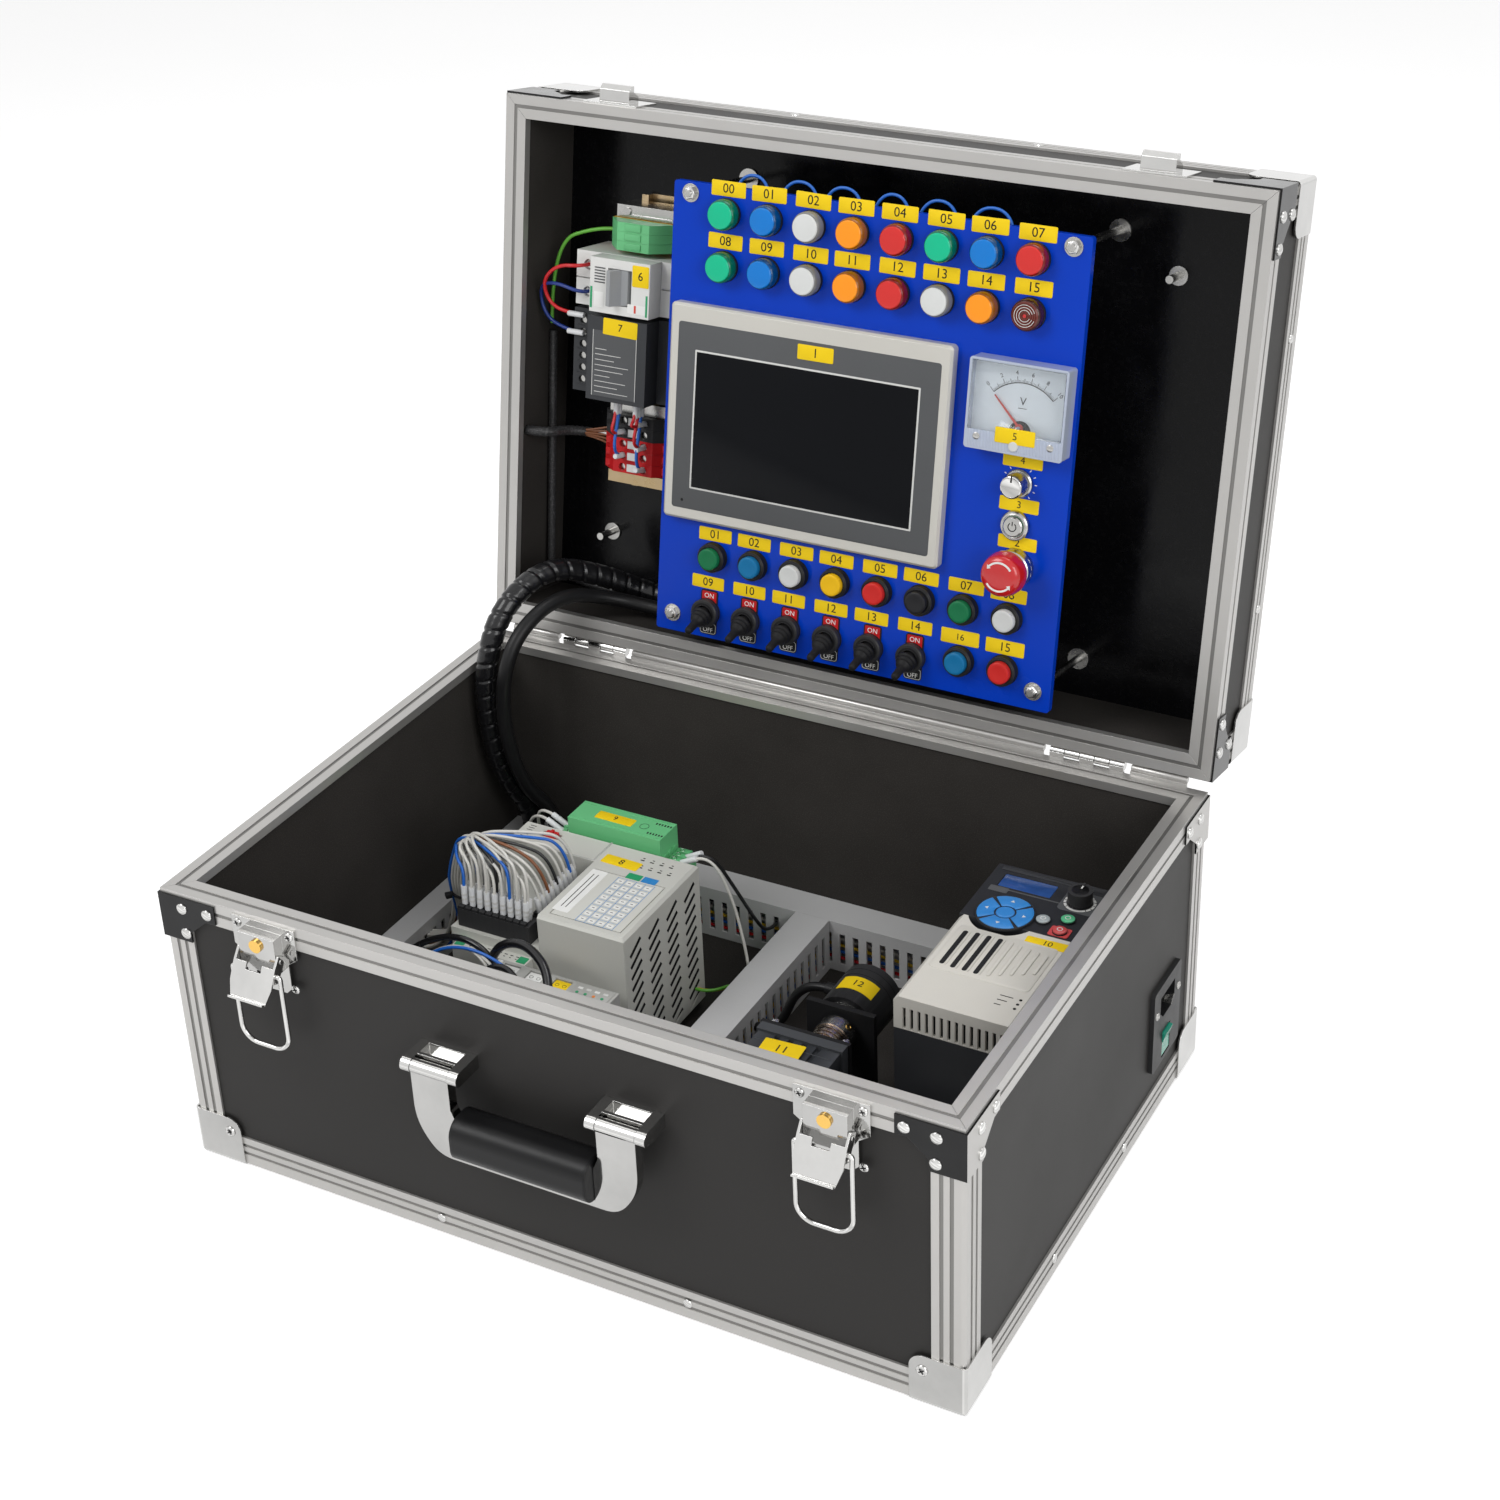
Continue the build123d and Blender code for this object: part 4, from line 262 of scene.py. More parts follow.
colors = {
    "green": (0, 0.46, 0.24), "blue": (0, 0.17, 0.56), "white": (0.62, 0.63, 0.62),
    "amber": (0.92, 0.29, 0.008), "red": (0.6, 0.025, 0.022), "dark": (0.14, 0.03, 0.022),
    "yellow": (0.85, 0.5, 0.01), "black": (0.016, 0.016, 0.018), "deep_green": (0.008, 0.16, 0.06),
    "sea_blue": (0.008, 0.16, 0.36)}
lens = {n: finish_of("lens_" + n, c, 0.22, grain=900, bump=0.004, vary=0.06, cloud=90, coat=0.1, glow=0.08,
                     spec=0.3)
        for n, c in colors.items()}
skirt = {n: finish_of("skirt_" + n, [v * 0.32 for v in c], 0.14, grain=900, bump=0.003, vary=0.15, cloud=90,
                      coat=0.15, spec=0.3) for n, c in colors.items()}
cap = {n: finish_of("cap_" + n, c, 0.36, grain=1800, bump=0.008, vary=0.05, cloud=90, spec=0.2)
       for n, c in colors.items()}
wire = {n: finish_of("wire_" + n, c, 0.4, grain=900, vary=0.12, cloud=60, edge=0) for n, c in (
    ("white", (0.62, 0.61, 0.57)), ("blue", (0.01, 0.12, 0.5)), ("red", (0.55, 0.01, 0.015)),
    ("brown", (0.2, 0.07, 0.025)), ("black", (0.01, 0.01, 0.011)), ("yellow", (0.75, 0.5, 0.02)),
    ("green", (0.12, 0.42, 0.04)), ("dark_blue", (0.008, 0.03, 0.2)))}


# Places and shapes
def at(x, y, z, **turns):
    """A place at a spot, turned about the named axes in their order, in degrees."""
    place = Matrix.Translation((x, y, z))
    for axis, degrees in turns.items():
        place = place @ Matrix.Rotation(radians(degrees), 4, axis)
    return place


def ease(shape, bevel):
    """Rounds the sharp edges a little."""
    shape.normal_update()
    edges = [e for e in shape.edges if len(e.link_faces) == 2 and e.calc_face_angle() > radians(25)]
    bmesh.ops.bevel(shape, geom=edges, offset=bevel, segments=2, profile=0.5, affect="EDGES",
                    clamp_overlap=True)


def block(x, y, z, bevel=0.3):
    """A block between two ends on each axis, its edges eased."""
    size = [end - start for start, end in (x, y, z)]
    shape = bmesh.new()
    bmesh.ops.create_cube(shape, size=1)
    shape.transform(at(sum(x) / 2, sum(y) / 2, sum(z) / 2) @ Matrix.Diagonal((*size, 1)))
    if bevel:
        ease(shape, min(bevel, 0.45 * min(size)))
    return shape


def prism(points, low, high, bevel=0.0):
    """An outline raised between two heights."""
    shape = bmesh.new()
    bottom = [shape.verts.new((x, y, low)) for x, y in points]
    top = [shape.verts.new((x, y, high)) for x, y in points]
    shape.faces.new(bottom[::-1])
    shape.faces.new(top)
    for n in range(len(points)):
        shape.faces.new((bottom[n - 1], bottom[n], top[n], top[n - 1]))
    bmesh.ops.recalc_face_normals(shape, faces=shape.faces)
    if bevel:
        ease(shape, bevel)
    return shape


def plate(width, height, radius, low, high, x=0.0, y=0.0, bevel=0.0):
    """A thin plate with round corners, between two heights."""
    points = []
    for corner in range(4):
        cx = x + (width / 2 - radius) * (1 if corner in (0, 3) else -1)
        cy = y + (height / 2 - radius) * (1 if corner in (0, 1) else -1)
        for step in range(6):
            a = radians(90 * corner + 18 * step)
            points.append((cx + radius * cos(a), cy + radius * sin(a)))
    return prism(points, low, high, bevel)


def sector(inner, outer, start, end, steps=16):
    """A ring sector's outline, in degrees."""
    angles = [radians(start + (end - start) * n / steps) for n in range(steps + 1)]
    outside = [(outer * cos(a), outer * sin(a)) for a in angles]
    return outside + [(inner * cos(a), inner * sin(a)) for a in angles[::-1]]


def turned(profile, sides=40, ripple=None):
    """A profile of (radius, height) pairs turned about z, with a ripple of (count, depth, inner radius)."""
    shape = bmesh.new()
    rings = []
    for radius, height in profile:
        ring = []
        for n in range(sides if radius > 0 else 1):
            a = 2 * pi * n / sides
            r = radius
            if ripple and radius > ripple[2]:
                r -= ripple[1] * (0.5 + 0.5 * cos(ripple[0] * a))
            ring.append(shape.verts.new((r * cos(a), r * sin(a), height)))
        rings.append(ring)
    for one, two in zip(rings, rings[1:]):
        for n in range(sides):
            around = (one[n % len(one)], one[(n + 1) % len(one)], two[(n + 1) % len(two)],
                      two[n % len(two)])
            corners = list(dict.fromkeys(around))
            if len(corners) > 2:
                shape.faces.new(corners)
    bmesh.ops.recalc_face_normals(shape, faces=shape.faces)
    return shape


words = {}


def lettering(text, size):
    """Text as a thin raised mesh, centred at the origin."""
    if (text, size) not in words:
        curve = bpy.data.curves.new("words", "FONT")
        curve.body = text
        curve.size = size
        curve.align_x = "CENTER"
        curve.align_y = "CENTER"
        curve.extrude = 0.04
        curve.resolution_u = 3
        holder = bpy.data.objects.new("words", curve)
        scene.collection.objects.link(holder)
        graph = bpy.context.evaluated_depsgraph_get()
        words[(text, size)] = bpy.data.meshes.new_from_object(holder.evaluated_get(graph))
        bpy.data.objects.remove(holder)
        bpy.data.curves.remove(curve)
    shape = bmesh.new()
    shape.from_mesh(words[(text, size)])
    return shape


class Piece:
    """One mesh gathered from several shapes in the frame of home, riding one body."""

    def __init__(self, name, body, home=HERE):
        self.name = name
        self.body = body
        self.home = home
        self.mesh = bmesh.new()
        self.materials = []

    def add(self, shape, material, place=HERE):
        if material not in self.materials:
            self.materials.append(material)
        shape.transform(place)
        for face in shape.faces:
            face.material_index = self.materials.index(material)
        part = bpy.data.meshes.new("part")
        shape.to_mesh(part)
        shape.free()
        self.mesh.from_mesh(part)
        bpy.data.meshes.remove(part)

    def done(self, *stands_for, slot=None):
        self.mesh.transform(Matrix.Scale(MM, 4) @ self.home)
        piece = mesh_piece(self.name, self.mesh, self.materials)
        piece.data.set_sharp_from_angle(angle=radians(32))
        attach(piece, self.body)
        if stands_for:
            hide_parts(*stands_for)


def mesh_piece(name, shape, materials):
    data = bpy.data.meshes.new(name)
    shape.to_mesh(data)
    shape.free()
    for material in materials:
        data.materials.append(material)
    data.shade_smooth()
    piece = bpy.data.objects.new(name, data)
    scene.collection.objects.link(piece)
    return piece


def line_of(name, routes, radius, place=HERE):
    """A curve object with one smooth line for each route."""
    data = bpy.data.curves.new(name, "CURVE")
    data.dimensions = "3D"
    data.bevel_depth = radius * MM
    data.bevel_resolution = 3
    data.resolution_u = 10
    data.use_fill_caps = True
    for route in routes:
        spline = data.splines.new("NURBS")
        spline.points.add(len(route) - 1)
        for point, spot in zip(spline.points, route):
            point.co = (*(place @ Vector(spot) * MM), 1)
        spline.order_u = 3
        spline.use_endpoint_u = True
    holder = bpy.data.objects.new(name, data)
    scene.collection.objects.link(holder)
    return holder


def wires(name, body, material, routes, radius, place=HERE):
    piece = line_of(name, routes, radius, place)
    piece.data.materials.append(material)
    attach(piece, body)
    return piece


def centre_line(route, place=HERE):
    """Points along a route's smooth line, in metres."""
    holder = line_of("line", [route], 0, place)
    holder.data.use_fill_caps = False
    holder.data.resolution_u = 60
    graph = bpy.context.evaluated_depsgraph_get()
    mesh = bpy.data.meshes.new_from_object(holder.evaluated_get(graph))
    points = [v.co.copy() for v in mesh.vertices]
    bpy.data.objects.remove(holder)
    bpy.data.meshes.remove(mesh)
    return points


def length_of(points):
    return sum((b - a).length for a, b in zip(points, points[1:]))


def even(points, step):
    """The line cut at even distances, its ends kept."""
    total = length_of(points)
    count = max(8, round(total / step))
    result, walked, here = [], 0.0, 0
    for cut in (total * n / count for n in range(count + 1)):
        while here < len(points) - 2 and walked + (points[here + 1] - points[here]).length < cut:
            walked += (points[here + 1] - points[here]).length
            here += 1
        span = (points[here + 1] - points[here]).length or 1
        result.append(points[here].lerp(points[here + 1], min(1, (cut - walked) / span)))
    return result


def sleeved(points, radius, profile, sides=28):
    """A tube along the points whose radius follows profile(distance, turn)."""
    shape = bmesh.new()
    side = Vector((1, 0, 0))
    rings, walked = [], 0.0
    for n, point in enumerate(points):
        onward = (points[min(n + 1, len(points) - 1)] - points[max(n - 1, 0)]).normalized()
        side = (side - side.dot(onward) * onward).normalized()
        other = onward.cross(side)
        if n:
            walked += (point - points[n - 1]).length
        loop = []
        for k in range(sides):
            a = 2 * pi * k / sides
            r = radius * MM * profile(walked, a)
            loop.append(shape.verts.new(point + r * cos(a) * side + r * sin(a) * other))
        rings.append(loop)
    for one, two in zip(rings, rings[1:]):
        for k in range(sides):
            shape.faces.new((one[k - 1], one[k], two[k], two[k - 1]))
    shape.faces.new(rings[0][::-1])
    shape.faces.new(rings[-1])
    return shape


# The two cords that cross the hinge
def in_lid(x, u, w):
    return tuple(LID @ Vector((x, u, w)))


harness_route = [
    (-222, 151, 53.7), (-222, 151, 77.7), (-230, 132, 108), (-235, 125, 156), (-232, 126, 204),
    (-226, 142, 238), (-213, 180, 254), in_lid(-190, 39, -26), in_lid(-156, 22.5, -50),
    in_lid(-98, 22.5, -50)]
pair_route = [
    (-203, 151, 53.7), (-203, 151, 77.7), (-212, 128, 108), (-217, 119, 154), (-214, 118, 198),
    (-209, 134, 227), (-199, 172, 239), in_lid(-180, 27, -18), in_lid(-150, 21, -31), in_lid(-98, 21, -31)]


wrap_pitch, gap_share = 0.0115, 0.13


def wrap(distance, a):
    """A spiral band with a narrow gap between its turns."""
    phase = (distance / wrap_pitch - a / (2 * pi)) % 1.0
    gap = max(0.0, 1 - abs(phase - 0.5) / gap_share)
    return 1.0 + 0.02 * (1 - (2 * phase - 1) ** 2) - 0.11 * min(1.0, gap * 1.6)


for name, route, radius, profile, material, step, stands_for in (
        ("harness_wrapped", harness_route, 7.5, wrap, jacket, 0.0009, "harness"),
        ("harness_smooth", pair_route, 5.0, lambda distance, a: 1.0, smooth_jacket, 0.003, "harness_pair")):
    points = centre_line(route)
    path = even(points, step)
    piece = mesh_piece(name, sleeved(path, radius, profile), [material])
    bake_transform(piece)
    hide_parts(stands_for)
    [tuple(p) for p in even(points, 0.004)]


# Finishes of the CAD solids that stay
def paint(name, materials, rule=None, lid=False):
    """Gives a node its finishes. The rule takes a face's centre and normal and returns a finish's place."""
    mesh = nodes[name].data
    mesh.materials.clear()
    for material in materials:
        mesh.materials.append(material)
    back = LID_BACK if lid else HERE
    turned_back = back.to_3x3()
    for polygon in mesh.polygons:
        spot, normal = back @ (polygon.center / MM), turned_back @ polygon.normal
        polygon.material_index = rule(spot, normal) if rule else 0


half_width, half_depth = 260, 180
lining_x, lining_y = half_width - 10.6, half_depth - 10.6


def board_rule(c, n):
    return 0 if abs(c.x) >= lining_x or abs(c.y) >= lining_y or c.z < 11.8 else 1


def lid_board_rule(c, n):
    if abs(c.x) >= lining_x or abs(c.y - half_depth) > lining_y or c.z < -64.5:
        return 0
    return 2 if c.z < -59 else 1


def outward(value, normal, edge):
    """Whether a face is the floor of a groove half a millimetre deep in a side's edging."""
    return abs(abs(value) - edge + 0.5) < 0.1 and normal * value > 0.9 * abs(value)


def in_groove(c, n):
    return outward(c.y, n.y, half_depth) or outward(c.x, n.x, half_width)


def edging_rule(c, n):
    # Groove floors and the top face at 195.5 take the dark groove finish: painted shade
    if in_groove(c, n) or (abs(c.z - 195.5) < 0.1 and n.z > 0.9):
        return 3
    if 20.6 < c.z < 180:
        return 2
    return 0 if abs(c.y) - half_depth > abs(c.x) - half_width else 1


def lid_edging_rule(c, n):
    across = Vector((c.x, c.y - half_depth, 0))
    rim_groove = abs(abs(c.z + 34) - 34) < 2 and abs(n.z) > 0.9 and abs(abs(c.z) % 1 - 0.5) < 0.1
    # Groove floors of the lid's sides and rim take the dark groove finish: painted shade
    if in_groove(across, n) or rim_groove:
        return 3
    if -52 < c.z < -16.5 and not (abs(c.x) < 238 and abs(across.y) < 160):
        return 2
    return 0 if abs(across.y) - half_depth > abs(c.x) - half_width else 1


def base_hardware_rule(c, n):
    """The rail is passivated. The rim's brackets mirror the dark in front, so their front is painted dark as
    a painted reflection, and they are plain on the right.
    """
    if abs(c.x) < 150 and c.z < 40:
        return 1
    if c.z > 160 and abs(c.x) > 215:
        return 3 if c.x > 260.5 and n.x > 0.7 else 2
    return 0


def lock_rule(c, n):
    return 1 if (abs(c.x) - 184) ** 2 + (c.z - 182.5) ** 2 < 17.8 and c.y < -188.5 else 0


def inlet_rule(c, n):
    return 1 if 244.6 < c.x < 256 and abs(c.y - 119) < 10.5 and abs(c.z - 81) < 7.5 else 0


def plc_rule(c, n):
    """The inside of the recess is dark."""
    if not (-56 < c.x and 26 < c.z < 121):
        return 0
    wall = c.x < -40.4 and -23 < c.y < 69 and abs(n.z) < 0.95
    return 1 if wall or (c.x < -42 and n.x > 0.9) else 0


def encoder_rule(c, n):
    if 10 <= c.y < 12.1 and (c.x - 93) ** 2 + (c.z - 80) ** 2 < 270:
        return 2
    return 1 if c.y < 10 or c.z < 20 else 0


def stud_rule(c, n):
    if -188 < c.x < -152 and c.y > 90 and c.z < -54:
        return 1
    return 2 if -115 < c.x < -101 and c.y < 34 else 0


def terminal_rule(c, n):
    if 263 < c.y < 285:
        return 0 if c.z > -32 else 1
    if c.y > 284 or c.y < 113.5 or c.y > 154.05:
        return 4 if c.y > 120 else 5
    return 2 if c.y < 138 else 3


edging_list = [edging["x"], edging["y"], edging["z"], groove]
paint("base_panels", [laminate, lining], board_rule)
paint("lid_panels", [laminate, lining, gloss_floor], lid_board_rule, True)
paint("base_edging", edging_list, edging_rule)
paint("lid_edging", edging_list, lid_edging_rule, True)
paint("base_hardware", [chrome, passivated, chrome_painted_dark_reflection, edging["y"]], base_hardware_rule)
# The lid's brackets take the same painted dark reflection
paint("lid_hardware", [chrome, chrome_painted_dark_reflection], lambda c, n: 1 if c.z > -36 and abs(c.x) > 215 else 0, True)
paint("front_fittings", [chrome, brass], lock_rule)
for side in ("left", "right"):
    paint("latch_lever_" + side, [chrome])
    paint("latch_bail_" + side, [chrome])
paint("carry_handle", [chrome, grip_rubber],
      lambda c, n: 1 if abs(c.x) < 44.7 and 86.9 < c.z < 115.4 else 0)
paint("mains_inlet", [black_plastic, steel], inlet_rule)
paint("inlet_rocker", [rocker_green])
paint("wiring_ducts", [duct_grey])
paint("plc_body", [plc_grey, soft_black], plc_rule)
paint("plc_mode_switch", [red_gloss])
paint("rail_modules", [module_grey, green_plastic, black_plastic],
      lambda c, n: 0 if c.y < -33 else (1 if c.y > 72 else 2))
paint("inverter_body", [drive_black])
paint("inverter_cover", [drive_cover])
paint("inverter_knob", [black_plastic])
paint("motor_body", [anodised, soft_black], lambda c, n: 1 if c.y > -40 or c.z < 20 else 0)
paint("drive_line", [steel, bronze], lambda c, n: 1 if -28 < c.y < -4.5 else 0)
paint("encoder_body", [black_plastic, soft_black, steel], encoder_rule)
paint("motor_driver", [unit_grey, black_plastic],
      lambda c, n: 1 if c.y < -134 and c.x > 198 and c.z > 90 else 0)
paint("control_panel", [panel_blue])
paint("lid_rail_and_studs", [steel, passivated, soft_black], stud_rule, True)
paint("circuit_breaker", [breaker_white])
paint("breaker_lever", [lever_grey])
paint("power_supply", [supply_dark])
paint("terminal_blocks", [green_plastic, terminal_yellow, terminal_red, black_plastic, steel, passivated],
      terminal_rule, True)
paint("hmi", [bezel_silver, black_plastic], lambda c, n: 0 if c.z > 14.9 else 1, True)
paint("switch_bodies", [black_plastic, steel, supply_dark],
      lambda c, n: 2 if c.z < 14.9 else (1 if c.x > 109 and c.y > 95 else 0), True)
paint("estop_stem", [steel])
paint("power_button", [steel])
paint("panel_meter", [meter_case, dial_white],
      lambda c, n: 1 if abs(c.z - 19) < 0.2 and n.z > 0.8 else 0, True)
paint("meter_needle", [needle_red])

# Lamps: a dark ring, a lens with its rim, and a barrel behind the panel. The last is the buzzer
face = 15.0
pitch = 29.7
lamp_order = ["green", "blue", "white", "amber", "red", "green", "blue", "red",
              "green", "blue", "white", "amber", "red", "white", "amber", "dark"]
lamp_spots = [(-85.3 + pitch * (n % 8), (305.2, 272.3)[n // 8]) for n in range(16)]
lens_profile = [(8.5, 9.0), (8.45, 9.7), (8.0, 10.15), (6.5, 10.35), (3.0, 10.45), (0, 10.5)]
buzzer_profile = [(8.5, 9.1), (8.2, 9.5)]
for r in (7.2, 5.8, 4.4, 3.0, 1.6):
    buzzer_profile += [(r + 0.5, 9.9), (r + 0.15, 9.35), (r - 0.15, 9.35), (r - 0.4, 9.95)]
buzzer_profile.append((0, 9.3))
lamps = Piece("lamps", "lid", LID)
for (x, u), shade in zip(lamp_spots, lamp_order):
    spot = at(x, u, face)
    lamps.add(turned([(9.9, 0), (10, 0.4), (10, 2.1), (9.7, 2.5)], 48), black_plastic, spot)
    lamps.add(turned([(9.6, 2.4), (9.65, 3), (9.65, 7.4), (9.3, 8.4), (8.7, 9.0), (8.5, 9.1)], 48),
              skirt[shade], spot)
    lamps.add(turned(buzzer_profile if shade == "dark" else lens_profile, 48), lens[shade], spot)
    if shade == "dark":
        for r in (6.5, 4.9, 3.3):
            lamps.add(prism(sector(r, r + 0.35, 20, 340, 28), 9.8, 10.0), pale_ink, spot)
        lamps.add(turned([(1.2, 9.3), (1.1, 9.9), (0, 10.1)], 20), red_gloss, spot)
    lamps.add(block((x - 8, x + 8), (u - 9, u + 9), (-14, 7.5), 0.8), supply_dark)
    lamps.add(turned([(0, 7), (9.4, 7), (9.4, 10), (0, 10)], 24), black_plastic, at(x, u, 0))
    for dx in (-4, 4):
        lamps.add(turned([(2.4, -13.7), (2.4, -13.9), (0, -13.9)], 16), steel, at(x + dx, u, 0))
lamps.done("indicator_lamps", slot="lamp_plastic")

# Push buttons: a ring with its lip round each, and the cap that moves
button_order = ["deep_green", "sea_blue", "white", "yellow", "red", "black", "deep_green", "white"]
buttons = {f"button_{n + 1:02d}": (-82.6 + pitch * n, 82.3, shade) for n, shade in enumerate(button_order)}
buttons["button_spare"] = (95.6, 48.3, "sea_blue")
buttons["button_15"] = (125.3, 48.3, "red")
button_slots = {"deep_green": "button_green", "sea_blue": "button_blue", "white": "button_white",
                "yellow": "button_yellow"}
lip_profile = [(9.62, 1.4), (9.64, 4.6), (9.2, 5.7), (8.5, 6.25), (7.85, 6.2), (7.62, 5.6), (7.6, 4)]
lips = Piece("button_lips", "lid", LID)
for name, (x, u, shade) in buttons.items():
    spot = at(x, u, face)
    lips.add(turned([(9.65, 0), (9.95, 0.3), (9.95, 1.1), (9.62, 1.4)], 44), rubber, spot)
    lips.add(turned(lip_profile, 44), black_plastic, spot)
    pressed = Piece(name + "_cap", name, LID @ spot)
    pressed.add(turned([(7.0, 3.3), (7.2, 3.5), (7.2, 8.3), (6.95, 9.0), (6.4, 9.35), (5.4, 9.38),
                        (3.6, 9.2), (0, 9.05)], 48), cap[shade])
    pressed.done(name, slot=button_slots.get(shade))
lips.done()

# Toggle switches: a plate and a rubber boot in rings, and the lever that moves
boots = Piece("toggle_boots", "lid", LID)
for n in range(6):
    x, u = -85.6 + pitch * n, 44.0
    spot = at(x, u, face)
    boots.add(plate(12.5, 30.5, 2.2, 0, 0.5, x=1.2), ink, spot)
    boots.add(plate(10.6, 8.2, 0.6, 0.5, 0.62, x=1.2, y=10.2), terminal_red, spot)
    boots.add(plate(11.6, 7.0, 1.8, 0.5, 0.58, x=1.2, y=-11.1), pale_ink, spot)
    boots.add(plate(10.9, 6.3, 1.5, 0.58, 0.66, x=1.2, y=-11.1), ink, spot)
    boots.add(lettering("ON", 4.6), paper, spot @ at(1.2, 11.3, 0.66))
    boots.add(lettering("OFF", 4.2), paper, spot @ at(1.2, -12.2, 0.7))
    boots.add(turned([(9.3, 0.6), (9.55, 1.0), (9.5, 2.0), (9.0, 2.4), (9.4, 2.8), (9.45, 3.6), (8.9, 4.1),
                      (8.2, 4.3), (8.4, 4.8), (8.1, 5.7), (7.2, 6.1), (6.2, 6.0)], 44), rubber, spot)
    toggle = f"toggle_{n + 9:02d}"
    lever = Piece(toggle + "_lever", toggle, LID @ at(x, u, face + 4.5, X=18))
    lever.add(turned([(4.3, 0.4), (6.0, 2.4), (6.9, 3.4), (6.9, 4.4), (6.1, 5.0), (5.9, 5.4), (6.3, 6.0),
                      (6.1, 7.0), (5.1, 7.8), (4.9, 8.4), (5.1, 9.2), (4.5, 10.2), (3.4, 11.2),
                      (3.05, 12.2), (2.75, 14), (2.6, 17.5), (2.65, 20.0), (2.5, 21.5), (2.1, 22.3),
                      (1.2, 22.85), (0, 23)], 36), rubber)
    lever.add(turned([(4.2, -3.5), (4.2, 0.6)], 30), rubber)
    lever.done(toggle, slot="knob_black")
boots.done()

# Emergency stop with turning arrows, power button and knob, in the panel's right column
stop_at, power_at, knob_at = (127, 115.5, face), (125, 142, face), (125, 168.6, face)
head = Piece("estop_mushroom", "estop_head", LID @ at(*stop_at) @ at(0, 0, 13.4))
head.add(turned([(3.2, 0), (12.4, 0), (13.6, 0.5), (14, 1.6), (14, 4.6), (13.5, 6.2), (13.3, 8.2),
                 (12.7, 10.4), (11.3, 12.0), (9.2, 12.7), (5.5, 13.0), (0, 13.0)], 60), red_gloss)
for start in (35, 215):
    head.add(prism(sector(8.3, 9.5, start, start + 105, 18), 12.5, 12.98), paper)
    wing, tip = radians(start + 104), radians(start + 118)
    arrow = [(r * cos(a), r * sin(a)) for r, a in ((7.3, wing), (10.5, wing), (8.9, tip))]
    head.add(prism(arrow, 12.5, 12.98), paper)
head.done("estop_head", slot="switch_red")
controls = Piece("control_rings", "lid", LID)
collar = [(12.2, 0), (12.4, 0.5), (12.2, 3.2), (11.4, 4.0), (11.2, 7.8), (10.6, 9.0), (8.4, 9.2),
          (8.2, 8.6)]
controls.add(turned(collar, 52, (36, 0.25, 12)), steel, at(*stop_at))
controls.add(turned([(9.3, 0), (9.4, 0.5), (9.3, 2.6), (8.6, 3.7), (7.4, 4.15), (6.8, 3.9)], 48), steel,
             at(*power_at))
controls.add(turned([(6.75, 3.6), (6.6, 4.1), (6.5, 3.6)], 40), green_key, at(*power_at))
for k in range(12):
    controls.add(block((-0.25, 0.25), (9.9, 11.4), (0, 0.18), 0.05), paper,
                 at(*knob_at, Z=140 - 280 * k / 11))
controls.done()
power = Piece("power_mark", "power_button", LID @ at(*power_at) @ at(0, 0, 6.2))
power.add(prism(sector(2.3, 2.9, 125, 415, 22), 0, 0.12), ink)
power.add(block((-0.3, 0.3), (0.8, 3.4), (0, 0.12), 0.02), ink)
power.done()
dial_knob = Piece("analog_knob_turned", "analog_knob", LID @ at(*knob_at) @ at(0, 0, 0.1))
knurled = [(3.0, 0.1), (3.0, 3.0), (7.4, 3.2), (7.6, 3.8), (7.55, 12.2), (7.1, 13.4)]
dial_knob.add(turned(knurled, 96, (32, 0.35, 7.5)), steel)
dial_knob.add(turned([(7.1, 13.4), (6.9, 13.9), (6.2, 14.15), (5.8, 14.0), (0, 14.0)], 60), chrome)
dial_knob.add(block((-0.5, 0.5), (3.2, 7.0), (13.6, 14.2), 0.1), ink)
dial_knob.done("analog_knob", slot="knob_metal")

# Panel screws over the studs, with washers
screws = Piece("panel_screws", "lid", LID)
for x in (-111.5, 146):
    for u in (38.5, 315.2):
        screws.add(turned([(5.8, 0), (5.9, 0.15), (5.85, 0.6), (2.6, 0.62)], 36), steel, at(x, u, face))
        screws.add(turned([(4.1, 0.5), (4.3, 0.9), (4.2, 3.25), (3.6, 3.7), (2.5, 3.8)], 6), chrome,
                   at(x, u, face, Z=15))
        screws.add(turned([(2.5, 3.2), (2.45, 4.6), (1.9, 5.05), (0, 5.05)], 30), steel, at(x, u, face))
screws.done()

# Operator screen: a sunk dark frame, a fine line and the glass
display = Piece("screen_frame", "lid", LID)
screen_x, bezel = -20.0, 23.0
display.add(plate(183, 122, 2.0, bezel - 0.2, bezel + 0.12, screen_x, 174.5, 0.08), frame_grey)
display.add(plate(157.6, 91, 0.6, bezel + 0.1, bezel + 0.3, screen_x, 173, 0.06), line_silver)
display.add(plate(155.2, 88.6, 0.4, bezel + 0.25, bezel + 0.36, screen_x, 173, 0.04), screen_black)
display.add(turned([(1.0, 0), (0.9, 0.1), (0, 0.1)], 16), ink, at(screen_x - 84, 119, bezel + 0.12))
display.done()

